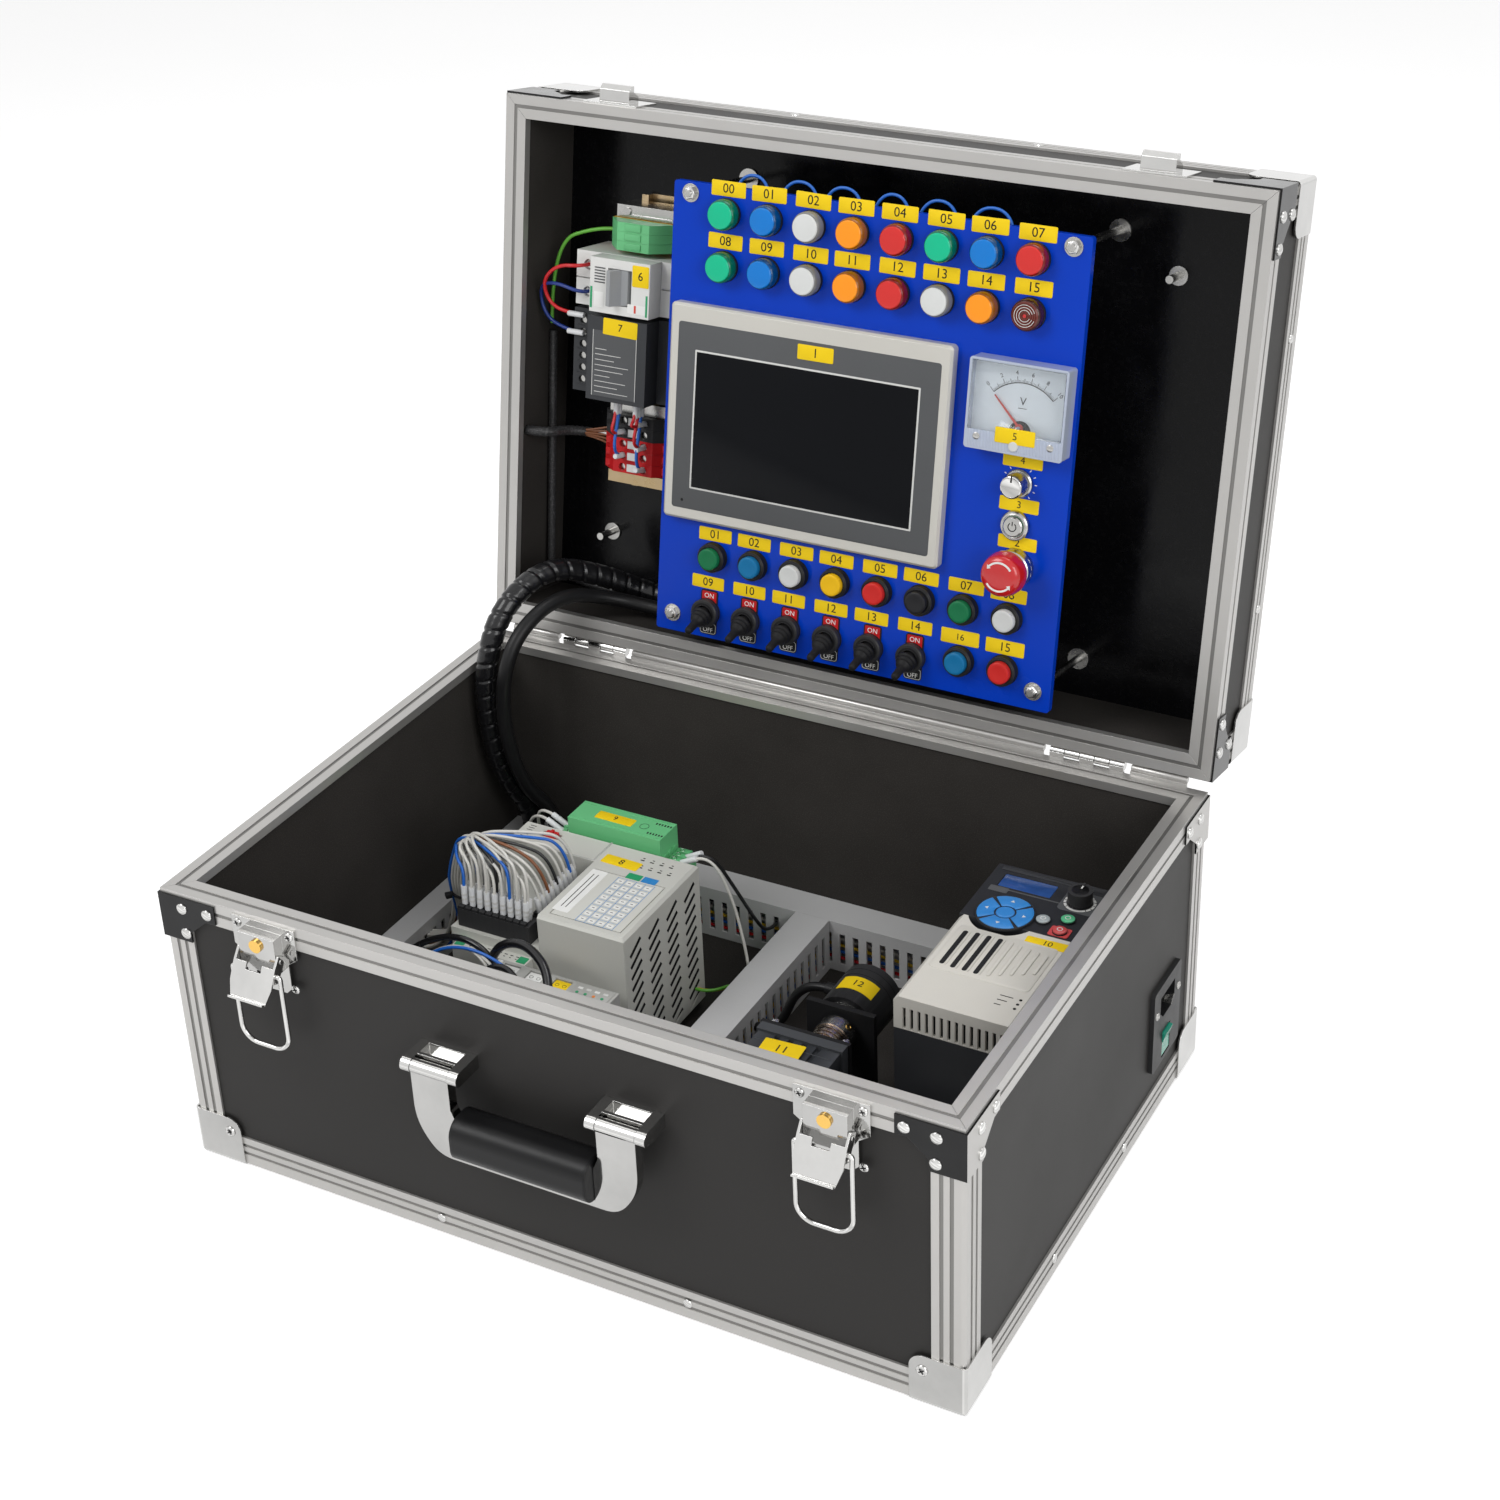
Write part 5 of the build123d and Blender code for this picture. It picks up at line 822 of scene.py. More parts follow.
# Panel meter: dial plate, scale, numerals, coil cover and clear front
meter = Piece("meter_dial", "lid", LID)
meter_x, pivot_u, dial = 123.5, 204.5, 19.2
meter.add(plate(58.4, 40.6, 1, dial - 0.2, dial, meter_x, 221.6), dial_white)
meter.add(prism(sector(25.4, 25.9, 45, 135, 30), 0, 0.08), ink, at(meter_x, pivot_u, dial))
for k in range(51):
    lean = 45 - 90 * k / 50
    long = 3.6 if k % 10 == 0 else (2.6 if k % 5 == 0 else 1.6)
    half = 0.09 if k % 5 else 0.14
    meter.add(block((-half, half), (25.6, 25.6 + long), (0, 0.08), 0), ink,
              at(meter_x, pivot_u, dial, Z=lean))
    if k % 10 == 0:
        meter.add(lettering(str(k // 5), 3.4), ink,
                  at(meter_x, pivot_u, dial + 0.05, Z=lean) @ at(0, 31.2, 0))
meter.add(lettering("V", 6.5), ink, at(meter_x, pivot_u + 15, dial + 0.05))
meter.add(block((-2.6, 2.6), (11.0, 11.3), (0, 0.08), 0), ink, at(meter_x, pivot_u, dial + 0.02))
meter.add(turned([(6.5, 0), (6.5, 1.35), (6.0, 1.53), (0, 1.575)], 40), black_plastic,
          at(meter_x, pivot_u - 2.5, dial))
for k in range(30):
    x = meter_x - 29.4 + k * 2.03
    meter.add(block((x, x + 1.1), (189.9, 200.1), (27.7, 28.15), 0.15), meter_case)
for dx in (-24, 24):
    meter.add(turned([(2.3, 27.9), (2.2, 28.4), (1.4, 28.7), (0, 28.75)], 24), steel,
              at(meter_x + dx, 196.5, 0))
meter.add(turned([(3.0, 27.9), (3.0, 28.9), (2.6, 29.2), (0, 29.2)], 30), cap["white"],
          at(meter_x + 0.5, 193.7, 0))
meter.done()
window = Piece("meter_window", "lid", LID)
window.add(plate(60.4, 42.2, 1.6, 27.2, 28.0, meter_x, 221.4, 0.25), glass)
window.done()


# Yellow labels with plain numbers
def tag(piece, x, y, z, width, height, text, size, tilt=0.0):
    """A label with round corners, a thin body and its number."""
    spot = at(x, y, z, Z=tilt)
    piece.add(plate(width, height, 0.9, 0, 0.22, bevel=0.06), label_yellow, spot)
    piece.add(lettering(text, size), ink, spot @ at(0, 0, 0.26))


tags = Piece("labels", "lid", LID)
lamp_leans = (0, 1, -1, 0.5, 0, -0.5, 0.8, 0, -0.6, 0.6, 0, 0.4, -0.8, 0, 0.5, 0.3)
for n, (x, u) in enumerate(lamp_spots):
    aside = (0.6, -0.5, 0.4, 0, -0.4)[n % 5]
    tag(tags, x + aside, u + (15.1 if n == 7 else 15.6), face, 24.2, 9.6, f"{n:02d}", 8.4, lamp_leans[n])
for n, lean in enumerate((0.6, -0.4, 0.3, 0, 0.5, -0.6, 0.4, 0)):
    tag(tags, -82.6 + pitch * n - (0.8 if n % 2 else -0.3), 97.1, face, 24, 8.8, f"{n + 1:02d}", 8.0, lean)
for n, lean in enumerate((-0.5, 0.4, 0, 0.6, -0.3, 0.2)):
    x = -85.6 + pitch * n + (0.5 if n % 2 else -0.4)
    tag(tags, x, 64.2, face, 23.6, 8.6, f"{n + 9:02d}", 7.8, lean)
for x, u, w, width, height, text, size, lean in (
        (94.5, 63.3, face, 26, 9.6, "16", 6.0, 0.5), (125, 62.9, face, 26, 9.4, "15", 8.0, 0),
        (-14, 228.6, 23.12, 25, 9.6, "1", 8.4, 0.4), (127, 130.9, face, 25.5, 8.2, "2", 7.4, 0),
        (126, 154.8, face, 26, 8.6, "3", 6.4, -0.4), (126, 182.6, face, 26, 8.8, "4", 6.4, 0.4),
        (124.6, 199.8, 28.2, 26, 9.6, "5", 6.4, 0.6), (-154.3, 253.8, 0.05, 12.4, 14, "6", 8, 0.5),
        (-170, 217.2, -2.95, 26, 11, "7", 7, -1.2)):
    tag(tags, x, u, w, width, height, text, size, lean)
tags.done()

# Breaker: screw heads, flags, print and ribs
breaker = Piece("breaker_details", "lid", LID)
for x in (-203, -137):
    for u in (235.5, 253.5):
        breaker.add(turned([(3.2, -2.2), (3.0, -1.6), (0, -1.5)], 24), steel, at(x, u, -15))
        breaker.add(block((-2.6, 2.6), (-0.35, 0.35), (-1.5, -1.35), 0.05), ink, at(x, u, -15, Z=35))
for x, u, w, material in (
        ((-192, -190.4), (229, 243), (0, 0.2), green_print),
        ((-150, -148.6), (228, 242), (0, 0.2), green_print),
        ((-189, -182), (230, 240), (0, 0.12), paper),
        ((-158.5, -157), (229.5, 234.5), (0.1, 0.3), needle_red)):
    breaker.add(block(x, u, w, 0.05), material)
for k in range(6):
    breaker.add(block((-189, -181), (246 + 1.9 * k, 246.8 + 1.9 * k), (0, 0.25), 0.05), frame_grey)
breaker.add(plate(14, 6, 0.6, 0, 0.18, -156.5, 232), paper)
for k in range(7):
    breaker.add(block((-211.6, -210.4), (229 + k * 4.6, 231.4 + k * 4.6), (-40, -18), 0.2), breaker_white)
breaker.add(block((-193.2, -147), (226.3, 262.7), (-16.4, -15), 0.3), breaker_white)
breaker.done()

# Supply: printed rules, terminal row with screws
supply = Piece("supply_details", "lid", LID)
supply.add(plate(34, 44, 0.8, -3.0, -2.9, -174, 192), frame_grey)
for k, long in enumerate((26, 18, 24, 12, 22, 26, 15, 20, 9)):
    supply.add(block((-188.6, -189 + long), (172.6 + 3.6 * k, 173.0 + 3.6 * k), (-2.9, -2.84), 0), pale_ink)
for x in (-190.6, -157.6):
    supply.add(block((x, x + 0.4), (170, 214), (-2.9, -2.82), 0), pale_ink)
for k in range(6):
    u = 175 + 8 * k
    for x in (-208, -136):
        supply.add(turned([(2.4, -21.2), (2.3, -20.6), (0, -20.5)], 20), steel, at(x, u, 0))
    supply.add(block((-212.6, -200.4), (u - 3.6, u - 3.0), (-20, -18.6), 0.2), supply_dark)
supply.done()

# Terminal screws and markers
terminal_x = -170
terminal_us = [118 + 8 * k for k in range(5)]
ends = Piece("terminal_details", "lid", LID)
for k, u in enumerate(terminal_us):
    for side in (-1, 1):
        x = terminal_x + side * 21
        ends.add(turned([(2.4, -28.4), (2.2, -27.6), (0, -27.5)], 20), steel,
                 at(terminal_x + side * 8, u, 0))
        ends.add(block((x - 2.6, x + 2.6), (u - 2.4, u + 2.4), (-30.7, -29.4), 0.3),
                 black_plastic if k > 2 else terminal_red)
    ends.add(block((-174, -166), (u - 2.6, u + 2.6), (-25, -24.3), 0.2), paper)
for k in range(3):
    u = 269.1 + 6.2 * k
    for x in (-180, -160):
        ends.add(turned([(2.2, -23.4), (2.0, -19.7), (0, -19.6)], 18), steel, at(x, u, 0))
    ends.add(block((-176, -164), (u - 2.2, u + 2.2), (-15, -14.2), 0.3), green_plastic)
ends.add(block((-190, -150), (285.2, 287.4), (-36, -30.8), 0.4), steel)
ends.add(turned([(2.8, -30.8), (2.7, -29.4), (0, -29.3)], 20), steel, at(-184, 289, -0.4))
ends.done()

# Wires in the lid. Ends of wires on the terminals stand at the strip's left edge
wall, strip_x, strip_w = -246.2, -197.3, -43.0
screw, screw_top, lead_w = -203, -17.7, -17.4
red_routes = [
    [(screw, 253.5, screw_top), (screw, 253.5, -6), (-222, 252, -6), (-237, 238, -12), (-233, 221, -18),
     (-214, 218.5, -17.6), (-207, 218.5, lead_w)],
    [(-219, 133.5, -42.2), (-210, 134, -42), (strip_x, 134, strip_w)]]
blue_routes = [
    [(screw, 235.5, screw_top), (screw, 235.5, -7), (-224, 240, -8), (-243, 234, -18), (-240, 212, -22),
     (-217, 206.5, -17.6), (-207, 206.5, lead_w)]]
lid_red = wires("lid_wires_red", "lid", wire["red"], red_routes, 1.25, LID)
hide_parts("lid_wiring")
wires("lid_wires_blue", "lid", wire["dark_blue"], blue_routes, 1.25, LID)
wires("lid_wires_earth", "lid", wire["green"],
      [[(-194.3, 275.3, -35), (-208, 275.3, -35), (-240, 262, -28), (-242, 206, -34)]], 1.25, LID)
wires("lid_copper", "lid", wire["brown"], [
    [(-215, 131 + k, -39 + k % 3), (-206, 130 + 1.6 * k, -41), (strip_x + 0.6, 126 + 3.4 * k, strip_w)]
    for k in range(5)], 0.8, LID)
wires("lid_loops", "lid", wire["blue"], [
    [(x, 316.2, 8.9), (x + 3, 330, 6.9), (x + reach, 329.5, 6.9), (x + reach + 3, 316.2, 8.9)]
    for x, reach in ((-84, 22), (-52, 24), (-22, 24), (12, 22), (42, 24), (76, 26))], 1.0, LID)


braid_pitch = 0.0016


def braid(distance, a):
    """The ripple of a braided sleeve."""
    return 0.97 + 0.05 * sin(distance / braid_pitch * pi + 2 * a)


sleevings = (
    (3.4, [(wall + 0.3, 135, -12), (-232, 135, -12), (-226, 134, -36), (-213, 132.5, strip_w)]),
    (2.8, [(wall + 2.9, 200, -38), (wall + 3.1, 120, -40), (wall + 5, 36, -40)]),
    (2.8, [(wall + 3, 30, -44), (-226, 19, -55), (-192, 16.8, -59), (-114.3, 16.8, -59)]))
for n, (radius, route) in enumerate(sleevings, 1):
    path = even(centre_line(route, LID), 0.0011)
    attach(mesh_piece(f"lid_sleeving_{n}", sleeved(path, radius, braid, 16), [braid_jacket]), "lid")
jumpers = []
for k, u in enumerate(terminal_us):
    x = terminal_x + 8 * (-1) ** k
    jumpers.append([(x, u, -28.7), (x, u, -13 + 2 * k), (x, 157, -21 + 2 * k), (x, 166.7, -21 + 2 * k)])
wires("lid_jumpers", "lid", wire["blue"], jumpers[:2], 1.1, LID)
wires("lid_jumpers_red", "lid", wire["red"], jumpers[2:], 1.1, LID)


def lid_ferrule(long):
    return turned([(0, 0), (1.8, 0.2), (1.9, 1), (1.9, long - 0.6), (1.6, long), (0, long)], 16)


ferrules = Piece("lid_ferrules", "lid", LID)
for k, u in enumerate(terminal_us):
    x = terminal_x + 8 * (-1) ** k
    ferrules.add(lid_ferrule(11.6), sleeve, at(x, u, -27, X=-10 + 5 * (k % 3)))
    ferrules.add(lid_ferrule(10.6), sleeve, at(x, 166.8, -21 + 2 * k, X=90))
for x, u, w in ((-206.5, 218.5, lead_w), (-206.5, 206.5, lead_w), (-197.6, 134, strip_w)):
    ferrules.add(lid_ferrule(12.6), sleeve, at(x, u, w, Y=-90))
ferrules.done()

# Controller: print, labels, status grid and terminal strip
plc = Piece("controller_details", "base")
plc_top, plc_step = 125.3, 91.3
plc.add(plate(11.5, 50, 0.6, plc_top, plc_top + 0.16, -93.0, 12), paper)
for x in (-95.2, -92.0):
    plc.add(block((x, x + 0.6), (-8, 32), (plc_top + 0.16, plc_top + 0.2), 0), ink)
tag(plc, -86, 51, plc_top, 27, 9.5, "8", 7.5, -2)
for x, shade in ((-70, green_print), (-58.5, blue_print)):
    plc.add(plate(10.4, 6.2, 0.3, plc_top, plc_top + 0.16, x, 40), shade)
for row in range(8):
    for column in range(4):
        x, y = -75.5 + column * 6.7, 32.0 - row * 6.6
        plc.add(plate(4.4, 3.4, 0.3, plc_top, plc_top + 0.12, x, y), paper)
        plc.add(plate(2.0, 0.5, 0.1, plc_top + 0.12, plc_top + 0.16, x, y), ink)
for column in range(5):
    x = -79.0 + column * 6.7
    plc.add(block((x, x + 0.3), (-17.6, 35.6), (plc_top, plc_top + 0.08), 0), blue_print)
for row in range(9):
    y = 35.3 - row * 6.6
    plc.add(block((-79, -52.1), (y, y + 0.2), (plc_top, plc_top + 0.08), 0), blue_print)
for row in range(2):
    for column in range(4):
        x, y = -72 + column * 7 - row * 3, 51 + row * 8
        plc.add(plate(2.8, 1.0, 0.2, plc_top, plc_top + 0.1, x, y), ink)
        plc.add(plate(1.6, 0.7, 0.2, plc_top, plc_top + 0.1, x, y + 2.4), ink)
for x in (-160.0, -113.5):
    plc.add(plate(6.5, 6.6, 0.4, plc_step, plc_step + 0.18, x, -28.6), green_print)
for k in range(9):
    x = -152.5 + k * 4.3
    plc.add(plate(2.2, 0.7, 0.2, plc_step, plc_step + 0.1, x, -27), ink)
    plc.add(plate(1.3, 0.6, 0.2, plc_step, plc_step + 0.1, x, -29.4), ink)
plc.add(block((-170.2, -102.8), (-24.1, -23.6), (97.6, 98.4), 0.1), plc_grey)
plc.add(block((-104.6, -103.2), (46, 69), (plc_top - 0.1, plc_top + 0.12), 0.05), module_grey)
plc.add(block((-169, -104), (45.6, 46.2), (plc_top - 0.2, plc_top + 0.12), 0.05), module_grey)
for k in range(7):
    plc.add(block((-163.8, -159.5), (49 + 2.6 * k, 49.5 + 2.6 * k), (plc_top, plc_top + 0.1), 0), ink)
plc.done()

# Black plugs: cells with screws. One row runs along the controller's front, the other up its side
cell = 5.2
front_x, front_y, side_x, side_y = -163.4, -15.2, -113.2, -4.5
plugs = Piece("plug_details", "base")
plug_screw = [(1.5, 111.4), (1.3, 111.9), (0, 112)]
for k in range(10):
    x = front_x + k * cell
    plugs.add(block((x - 2.2, x + 2.2), (-20.8, -17.6), (111.2, 113.4), 0.4), black_plastic)
    plugs.add(turned(plug_screw, 14), steel, at(x, -12, 0))
    plugs.add(block((x - 2.25, x - 1.95), (-21.0, -9.0), (98.6, 112.6), 0.1), soft_black)
for k in range(9):
    y = side_y + k * cell
    plugs.add(block((-117.8, -114.4), (y - 2.2, y + 2.2), (111.2, 113.2), 0.4), black_plastic)
    plugs.add(turned(plug_screw, 14), steel, at(-109.5, y, 0))
plugs.done()


# Wires that fan out of the plugs, over to their tie and down into the left duct
def wire_sleeve(radius, shoulder, long):
    profile = [(0, 0), (1.1, 0.1), (radius - 0.05, 0.8), (radius, 2), (radius, shoulder), (1.8, long),
               (0, long)]
    return turned(profile, 16)


tie_x, tie_y, tie_z = -196, 17, 96
fan = {"white": [], "blue": [], "brown": [], "black": []}
sleeves = Piece("wire_sleeves", "base")
for k in range(18):
    layer = k // 9
    row, column = divmod(k, 6)
    x, y = front_x + (k % 9) * cell * 10 / 9, front_y + 3.2 * layer
    high = 137 + 3.4 * (k % 4) + 2.5 * layer
    low, deep = 31 + 2.6 * column, 25 + 2.8 * row
    fan[{0: "blue", 6: "blue", 13: "black"}.get(k, "white")].append([
        (x, y, 124), (x - 0.5, y + 3, high - 2), (x - 9, y + 7, high + 4),
        (-184 + 2.2 * column, 10 + 2.6 * row, high + 3 - column),
        (tie_x + 2.4 * column, tie_y + 2.8 * row - 4, tie_z + 14),
        (tie_x + 2.2 * column, tie_y + 2.6 * row - 3, tie_z),
        (tie_x + 1.6 * column - 4, deep, 66), (-214, deep, low + 2), (-227.8, deep, low)])
    spot = at(x, y, 111.3, X=-4 - 3 * layer, Y=k % 3 - 2)
    sleeves.add(wire_sleeve(2.0, 13.5, 14.2), sleeve, spot)
    for ring in (4.0, 7.2):
        band = [(2.02, ring), (2.08, ring + 0.2), (2.08, ring + 1.2), (2.02, ring + 1.4)]
        sleeves.add(turned(band, 16), pale_ink, spot)
for k, shade in enumerate(("white", "white", "brown", "white", "black", "white", "white", "blue", "white")):
    x, y = side_x, side_y + k * cell
    fan[shade].append([
        (x, y, 122), (x - 3, y - 1, 138 + k), (-136, y * 0.6, 148 + (k % 3) * 2),
        (-173, 8 + k * 0.8, 145 + (k % 3)), (-195 + 1.6 * k, 20 + k, 118), (-197 + 1.5 * k, 19 + k, 96),
        (-203 + k, 21 + k * 1.2, 64), (-216, 20 + 1.6 * k, 40), (-227.8, 20 + 1.6 * k, 37)])
    sleeves.add(wire_sleeve(1.95, 12.5, 13.2), sleeve, at(x, y, 110.8, X=4 - k % 3, Y=-8))
fan_white = wires("fan_white", "base", wire["white"], fan["white"], 1.05)
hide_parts("base_wiring")
for shade in ("blue", "brown", "black"):
    wires("fan_" + shade, "base", wire[shade], fan[shade], 1.05)
sleeves.add(turned([(9.2, -1.3), (9.9, -1.0), (9.9, 1.0), (9.2, 1.3)], 40), black_plastic,
            at(-189.5, 19.5, 93) @ Matrix.Diagonal((1, 0.8, 1, 1)) @ at(0, 0, 0, Y=8))
sleeves.add(block((8.6, 13), (-2.2, 2.2), (-1.6, 1.6), 0.5), black_plastic, at(-189.5, 19.5, 93, Z=-130))
for x, lean in ((-149, -62), (-60.6, 62)):
    for y in (81, 88):
        sleeves.add(wire_sleeve(1.95, 14, 14.6), sleeve, at(x, y, 114.4, Y=lean))
sleeves.done()

# Modules: coloured inserts with round holes, a marking strip and the cables over them
inserts = Piece("module_inserts", "base")
insert_order = [paper, orange_part, paper, paper, blue_print, paper, label_yellow, paper, orange_part,
                paper, paper, blue_print]
for n in range(8):
    y = -41.5 - 15 * n
    for step in range(3):
        x = -115 + 19 * step
        shade = insert_order[(n * 5 + step * 3) % len(insert_order)]
        inserts.add(block((x - 5.6, x + 5.6), (y - 4.6, y + 4.6), (89.4, 91.6), 0.4), shade)
        for dx in (-2.6, 2.6):
            inserts.add(turned([(1.5, 91.5), (1.3, 91.75), (1.0, 91.5)], 14), ink, at(x + dx, y, 0))
    inserts.add(block((-126.4, -122.6), (y - 5.8, y + 5.8), (92.2, 93.2), 0.4),
                frame_grey if n % 2 else paper)
    inserts.add(block((-68, -41), (y - 6.4, y + 6.4), (92.2, 92.7), 0.2), module_grey)
    for k in range(4):
        x = -63.5 + 6 * k
        inserts.add(plate(3.4, 2.0, 0.3, 92.7, 92.9, x, y + 2), pale_ink if k % 2 else paper)
        inserts.add(turned([(1.1, 92.7), (1.0, 93.0), (0, 93.0)], 12),
                    orange_part if k == 2 else green_print, at(x, y - 2.6, 0))
inserts.done()
cable_big = wires("module_cable", "base", jacket, [
    [(-124, -52, 92.4), (-122, -47, 112), (-96, -46, 122), (-64, -66, 114), (-57, -94, 93)]], 3.0)
wires("module_cables_black", "base", jacket, [
    [(-122, -66, 92.4), (-119, -62, 106), (-100, -62, 112), (-78, -78, 106), (-75, -96, 93)],
    [(-119, -50, 93), (-121, -50, 108), (-150, -46, 112), (-190, -40, 88), (-214, -34, 52),
     (-227.8, -33, 46)],
    [(-122, -80, 93), (-124, -80, 104), (-152, -70, 106), (-188, -58, 80), (-214, -50, 46),
     (-227.8, -49, 40)]], 2.2)
wires("module_wires", "base", wire["white"], [
    [(-115 + dx, -56.5 - 15 * k, 91.5), (-117 + dx, -56 - 15 * k, 106), (-150, -48 - 13 * k, 108 - 3 * k),
     (-196, -40 - 9 * k, 70), (-214, -36 - 9 * k, 44), (-227.8, -35 - 9 * k, 41)]
    for k in range(3) for dx in (-2.6, 2.6)], 1.05)
wires("module_wires_blue", "base", wire["blue"], [
    [(-98.6, -56.5 - 15 * k, 91.5), (-99.6, -57 - 15 * k, 108), (-150, -53 - 13 * k, 112 - 3 * k),
     (-198, -47 - 9 * k, 66), (-214, -42 - 9 * k, 38), (-227.8, -41 - 9 * k, 35)] for k in range(3)], 1.05)
wires("module_wires_black", "base", wire["black"], [
    [(-96 + dx, -71.5 - 15 * k, 91.5), (-97 + dx, -72 - 15 * k, 109), (-150, -64 - 13 * k, 108 - 3 * k),
     (-199, -53 - 9 * k, 62), (-214, -50 - 9 * k, 33), (-227.8, -49 - 9 * k, 30)]
    for k in range(3) for dx in (2.6, -2.6)], 1.2)

# Converter: terminal lands, screws and a label
converter = Piece("converter_details", "base")
lid_of_converter = 133.3
for x, side in ((-146.6, -1), (-63.4, 1)):
    for k in range(4):
        y = 76.2 + k * 5.4
        converter.add(block((x - 5, x + 5), (y - 2.3, y + 2.3), (114.4, 116.6), 0.5), green_plastic)
        converter.add(turned([(1.9, 116.5), (1.7, 116.8), (1.2, 116.3), (0, 116.3)], 16), steel,
                      at(x - side * 1.6, y, 0))
    inner = x - side * 8.3
    for k in range(3):
        y = 75.5 + k * 6.4
        converter.add(block((inner - 2.6, inner + 2.6), (y, y + 4.2), (117.5, 120.1), 0.5), green_plastic)
tag(converter, -110, 84.3, lid_of_converter, 28, 8.6, "9", 6, -1)
converter.add(prism(sector(2.9, 3.2, 0, 359.9, 24), lid_of_converter, 133.4), ink, at(-88, 84.3, 0))
for k in range(6):
    x = -82.6 + 2.1 * k
    for y in (77.4, 89.4):
        converter.add(block((x, x + 1), (y, y + 2), (133.2, 133.42), 0.05), ink)
for y in (75, 92.9):
    converter.add(block((-140, -70), (y, y + 0.8), (133.1, 133.5), 0.1), green_plastic)
converter.done()
wires("converter_wire", "base", wire["black"], [
    [(-48, 84.3, 121), (-40, 88, 122), (-32, 98, 96), (-24, 112, 62), (-24, 128, 40.8),
     (-24, 142.1, 40.8)]], 1.2)
wires("converter_wire_white", "base", wire["white"], [
    [(-48, 81, 121), (-38, 84, 124), (-26, 88, 92), (-16, 84, 58), (-12, 80, 46), (-9.8, 79, 44)],
    [(-161.5, 81, 121), (-172, 84, 122), (-186, 92, 104), (-192, 110, 74), (-194, 142.1, 41)],
    [(-161.5, 88, 121), (-173, 90, 123), (-182, 98, 104), (-186, 114, 74), (-188, 142.1, 38)]], 1.05)
for name, y, z in (("green", 58, 35.8), ("yellow", 61.2, 33.8)):
    wires("earth_wire_" + name, "base", wire[name], [
        [(-39.7, y, z), (-30, y, z), (-19.8, y + 20, z - 2), (-9.8, y + 20, z - 2)]], 1.1)

# Wires seen through the ducts' slots
for n, shade in enumerate(("red", "blue", "yellow", "white", "black", "brown")):
    z = 22 + 4.42 * n
    y = 146 + 0.78 * n
    x = 0.52 * n
    wires("duct_" + shade, "base", wire[shade], [
        [(-230, y + 0.6, z), (-120, y - 0.2, z - 2), (10, y + 1, z + 1.5), (120, y, z - 1),
         (240, y + 0.6, z)],
        [(11.6 - x, -162, z), (12.0 - x, -60, z + 2), (11.4 - x, 40, z - 1), (11.8 - x, 138, z)],
        [(x - 6.2, -162, z), (x - 6.4, -40, z - 1.5), (x - 5.8, 60, z + 1), (x - 6.2, 138, z)],
        [(x / 2 - 232, -162, z), (x / 2 - 231.6, 138, z)]], 1.1)

# Drive: keypad, display, keys, dial ring, label, and the slots and ribs of its cover
drive = Piece("drive_details", "base")
drive_top = 171.8
ring_at, dial_at = (187, 38, drive_top), (222, 67.8, drive_top)
for width, height, radius, low, high, x, y, bevel, material in (
        (66, 4, 1, 0, 0.25, 198.5, 84, 0.1, drive_black), (46, 1.0, 0.3, 0, 0.15, 190, 62.6, 0, frame_grey),
        (33.4, 13.4, 0.6, -0.75, -0.15, 187, 72, 0.1, lcd),
        (12, 5.5, 0.6, 0, 0.18, 172.6, 61.4, 0, frame_grey),
        (12.5, 9.5, 1.2, 0, 0.5, 222.8, 34.6, 0, red_key),
        (23, 22, 3, -0.05, 0.12, 222.5, 68, 0, frame_grey),
        (62, 46, 3, -0.6, 0.28, 198.5, -5, 0.2, drive_cover)):
    drive.add(plate(width, height, radius, low, high, x, y, bevel), material, at(0, 0, drive_top))
for k in range(4):
    key = sector(6.6, 16.9, 49 + 90 * k, 131 + 90 * k, 16)
    drive.add(prism(key, 1.35, 2.1, 0.35), blue_key, at(*ring_at))
    drive.add(prism([(-1.3, 11), (1.3, 11), (0, 13)], 2.05, 2.2), pale_ink, at(*ring_at, Z=90 * k))
drive.add(turned([(5.6, 1.3), (5.5, 2.0), (4.9, 2.4), (0, 2.45)], 36), blue_key, at(*ring_at))
drive.add(turned([(17.4, 1.3), (17.7, 1.6), (17.3, 1.9), (16.9, 1.4)], 60), black_plastic, at(*ring_at))
for x, y, shade in ((209.6, 41.2, grey_key), (222.7, 47.4, green_key), (222.8, 34.6, red_key)):
    drive.add(turned([(4.2, 1.3), (4.1, 2.0), (3.4, 2.4), (0, 2.5)], 32), shade, at(x, y, drive_top))
    drive.add(prism(sector(1.3, 1.8, 0, 359.9, 20), 2.4, 2.56), pale_ink, at(x, y, drive_top))
drive.add(turned([(9.6, 0), (9.7, 0.3), (8.3, 0.42), (7.9, 0.1)], 48), pale_ink, at(*dial_at))
for k in range(13):
    drive.add(block((-0.22, 0.22), (8.5, 9.9), (0.4, 0.5), 0), ink, at(*dial_at, Z=138 - 23 * k))
tag(drive, 221, 20.5, drive_top, 27, 8, "10", 6.4, 2)
for k in range(4):
    long = 36 if k == 0 else 38
    drive.add(plate(3.0, long, 1.4, 0.27, 0.36, 173.5 + 7.2 * k, -5, 0.04), soft_black, at(0, 0, drive_top))
    drive.add(plate(1.0, long, 0.45, 0.27, 0.8, 176.1 + 7.2 * k, -5, 0.3), drive_cover, at(0, 0, drive_top))
for k in range(5):
    drive.add(plate(2.2, 36 - 4 * k, 1.0, 0.27, 0.95, 202.5 + 5.8 * k, k - 5, 0.4), drive_cover,
              at(0, 0, drive_top))
for k in range(3):
    y = -36 - 4.4 * k
    drive.add(turned([(1.0, 0), (0.9, 0.14), (0, 0.15)], 16), ink, at(228.5, y, drive_top))
    drive.add(block((216, 224 - 2 * k), (y - 0.3, y + 0.3), (drive_top, drive_top + 0.1), 0), ink)
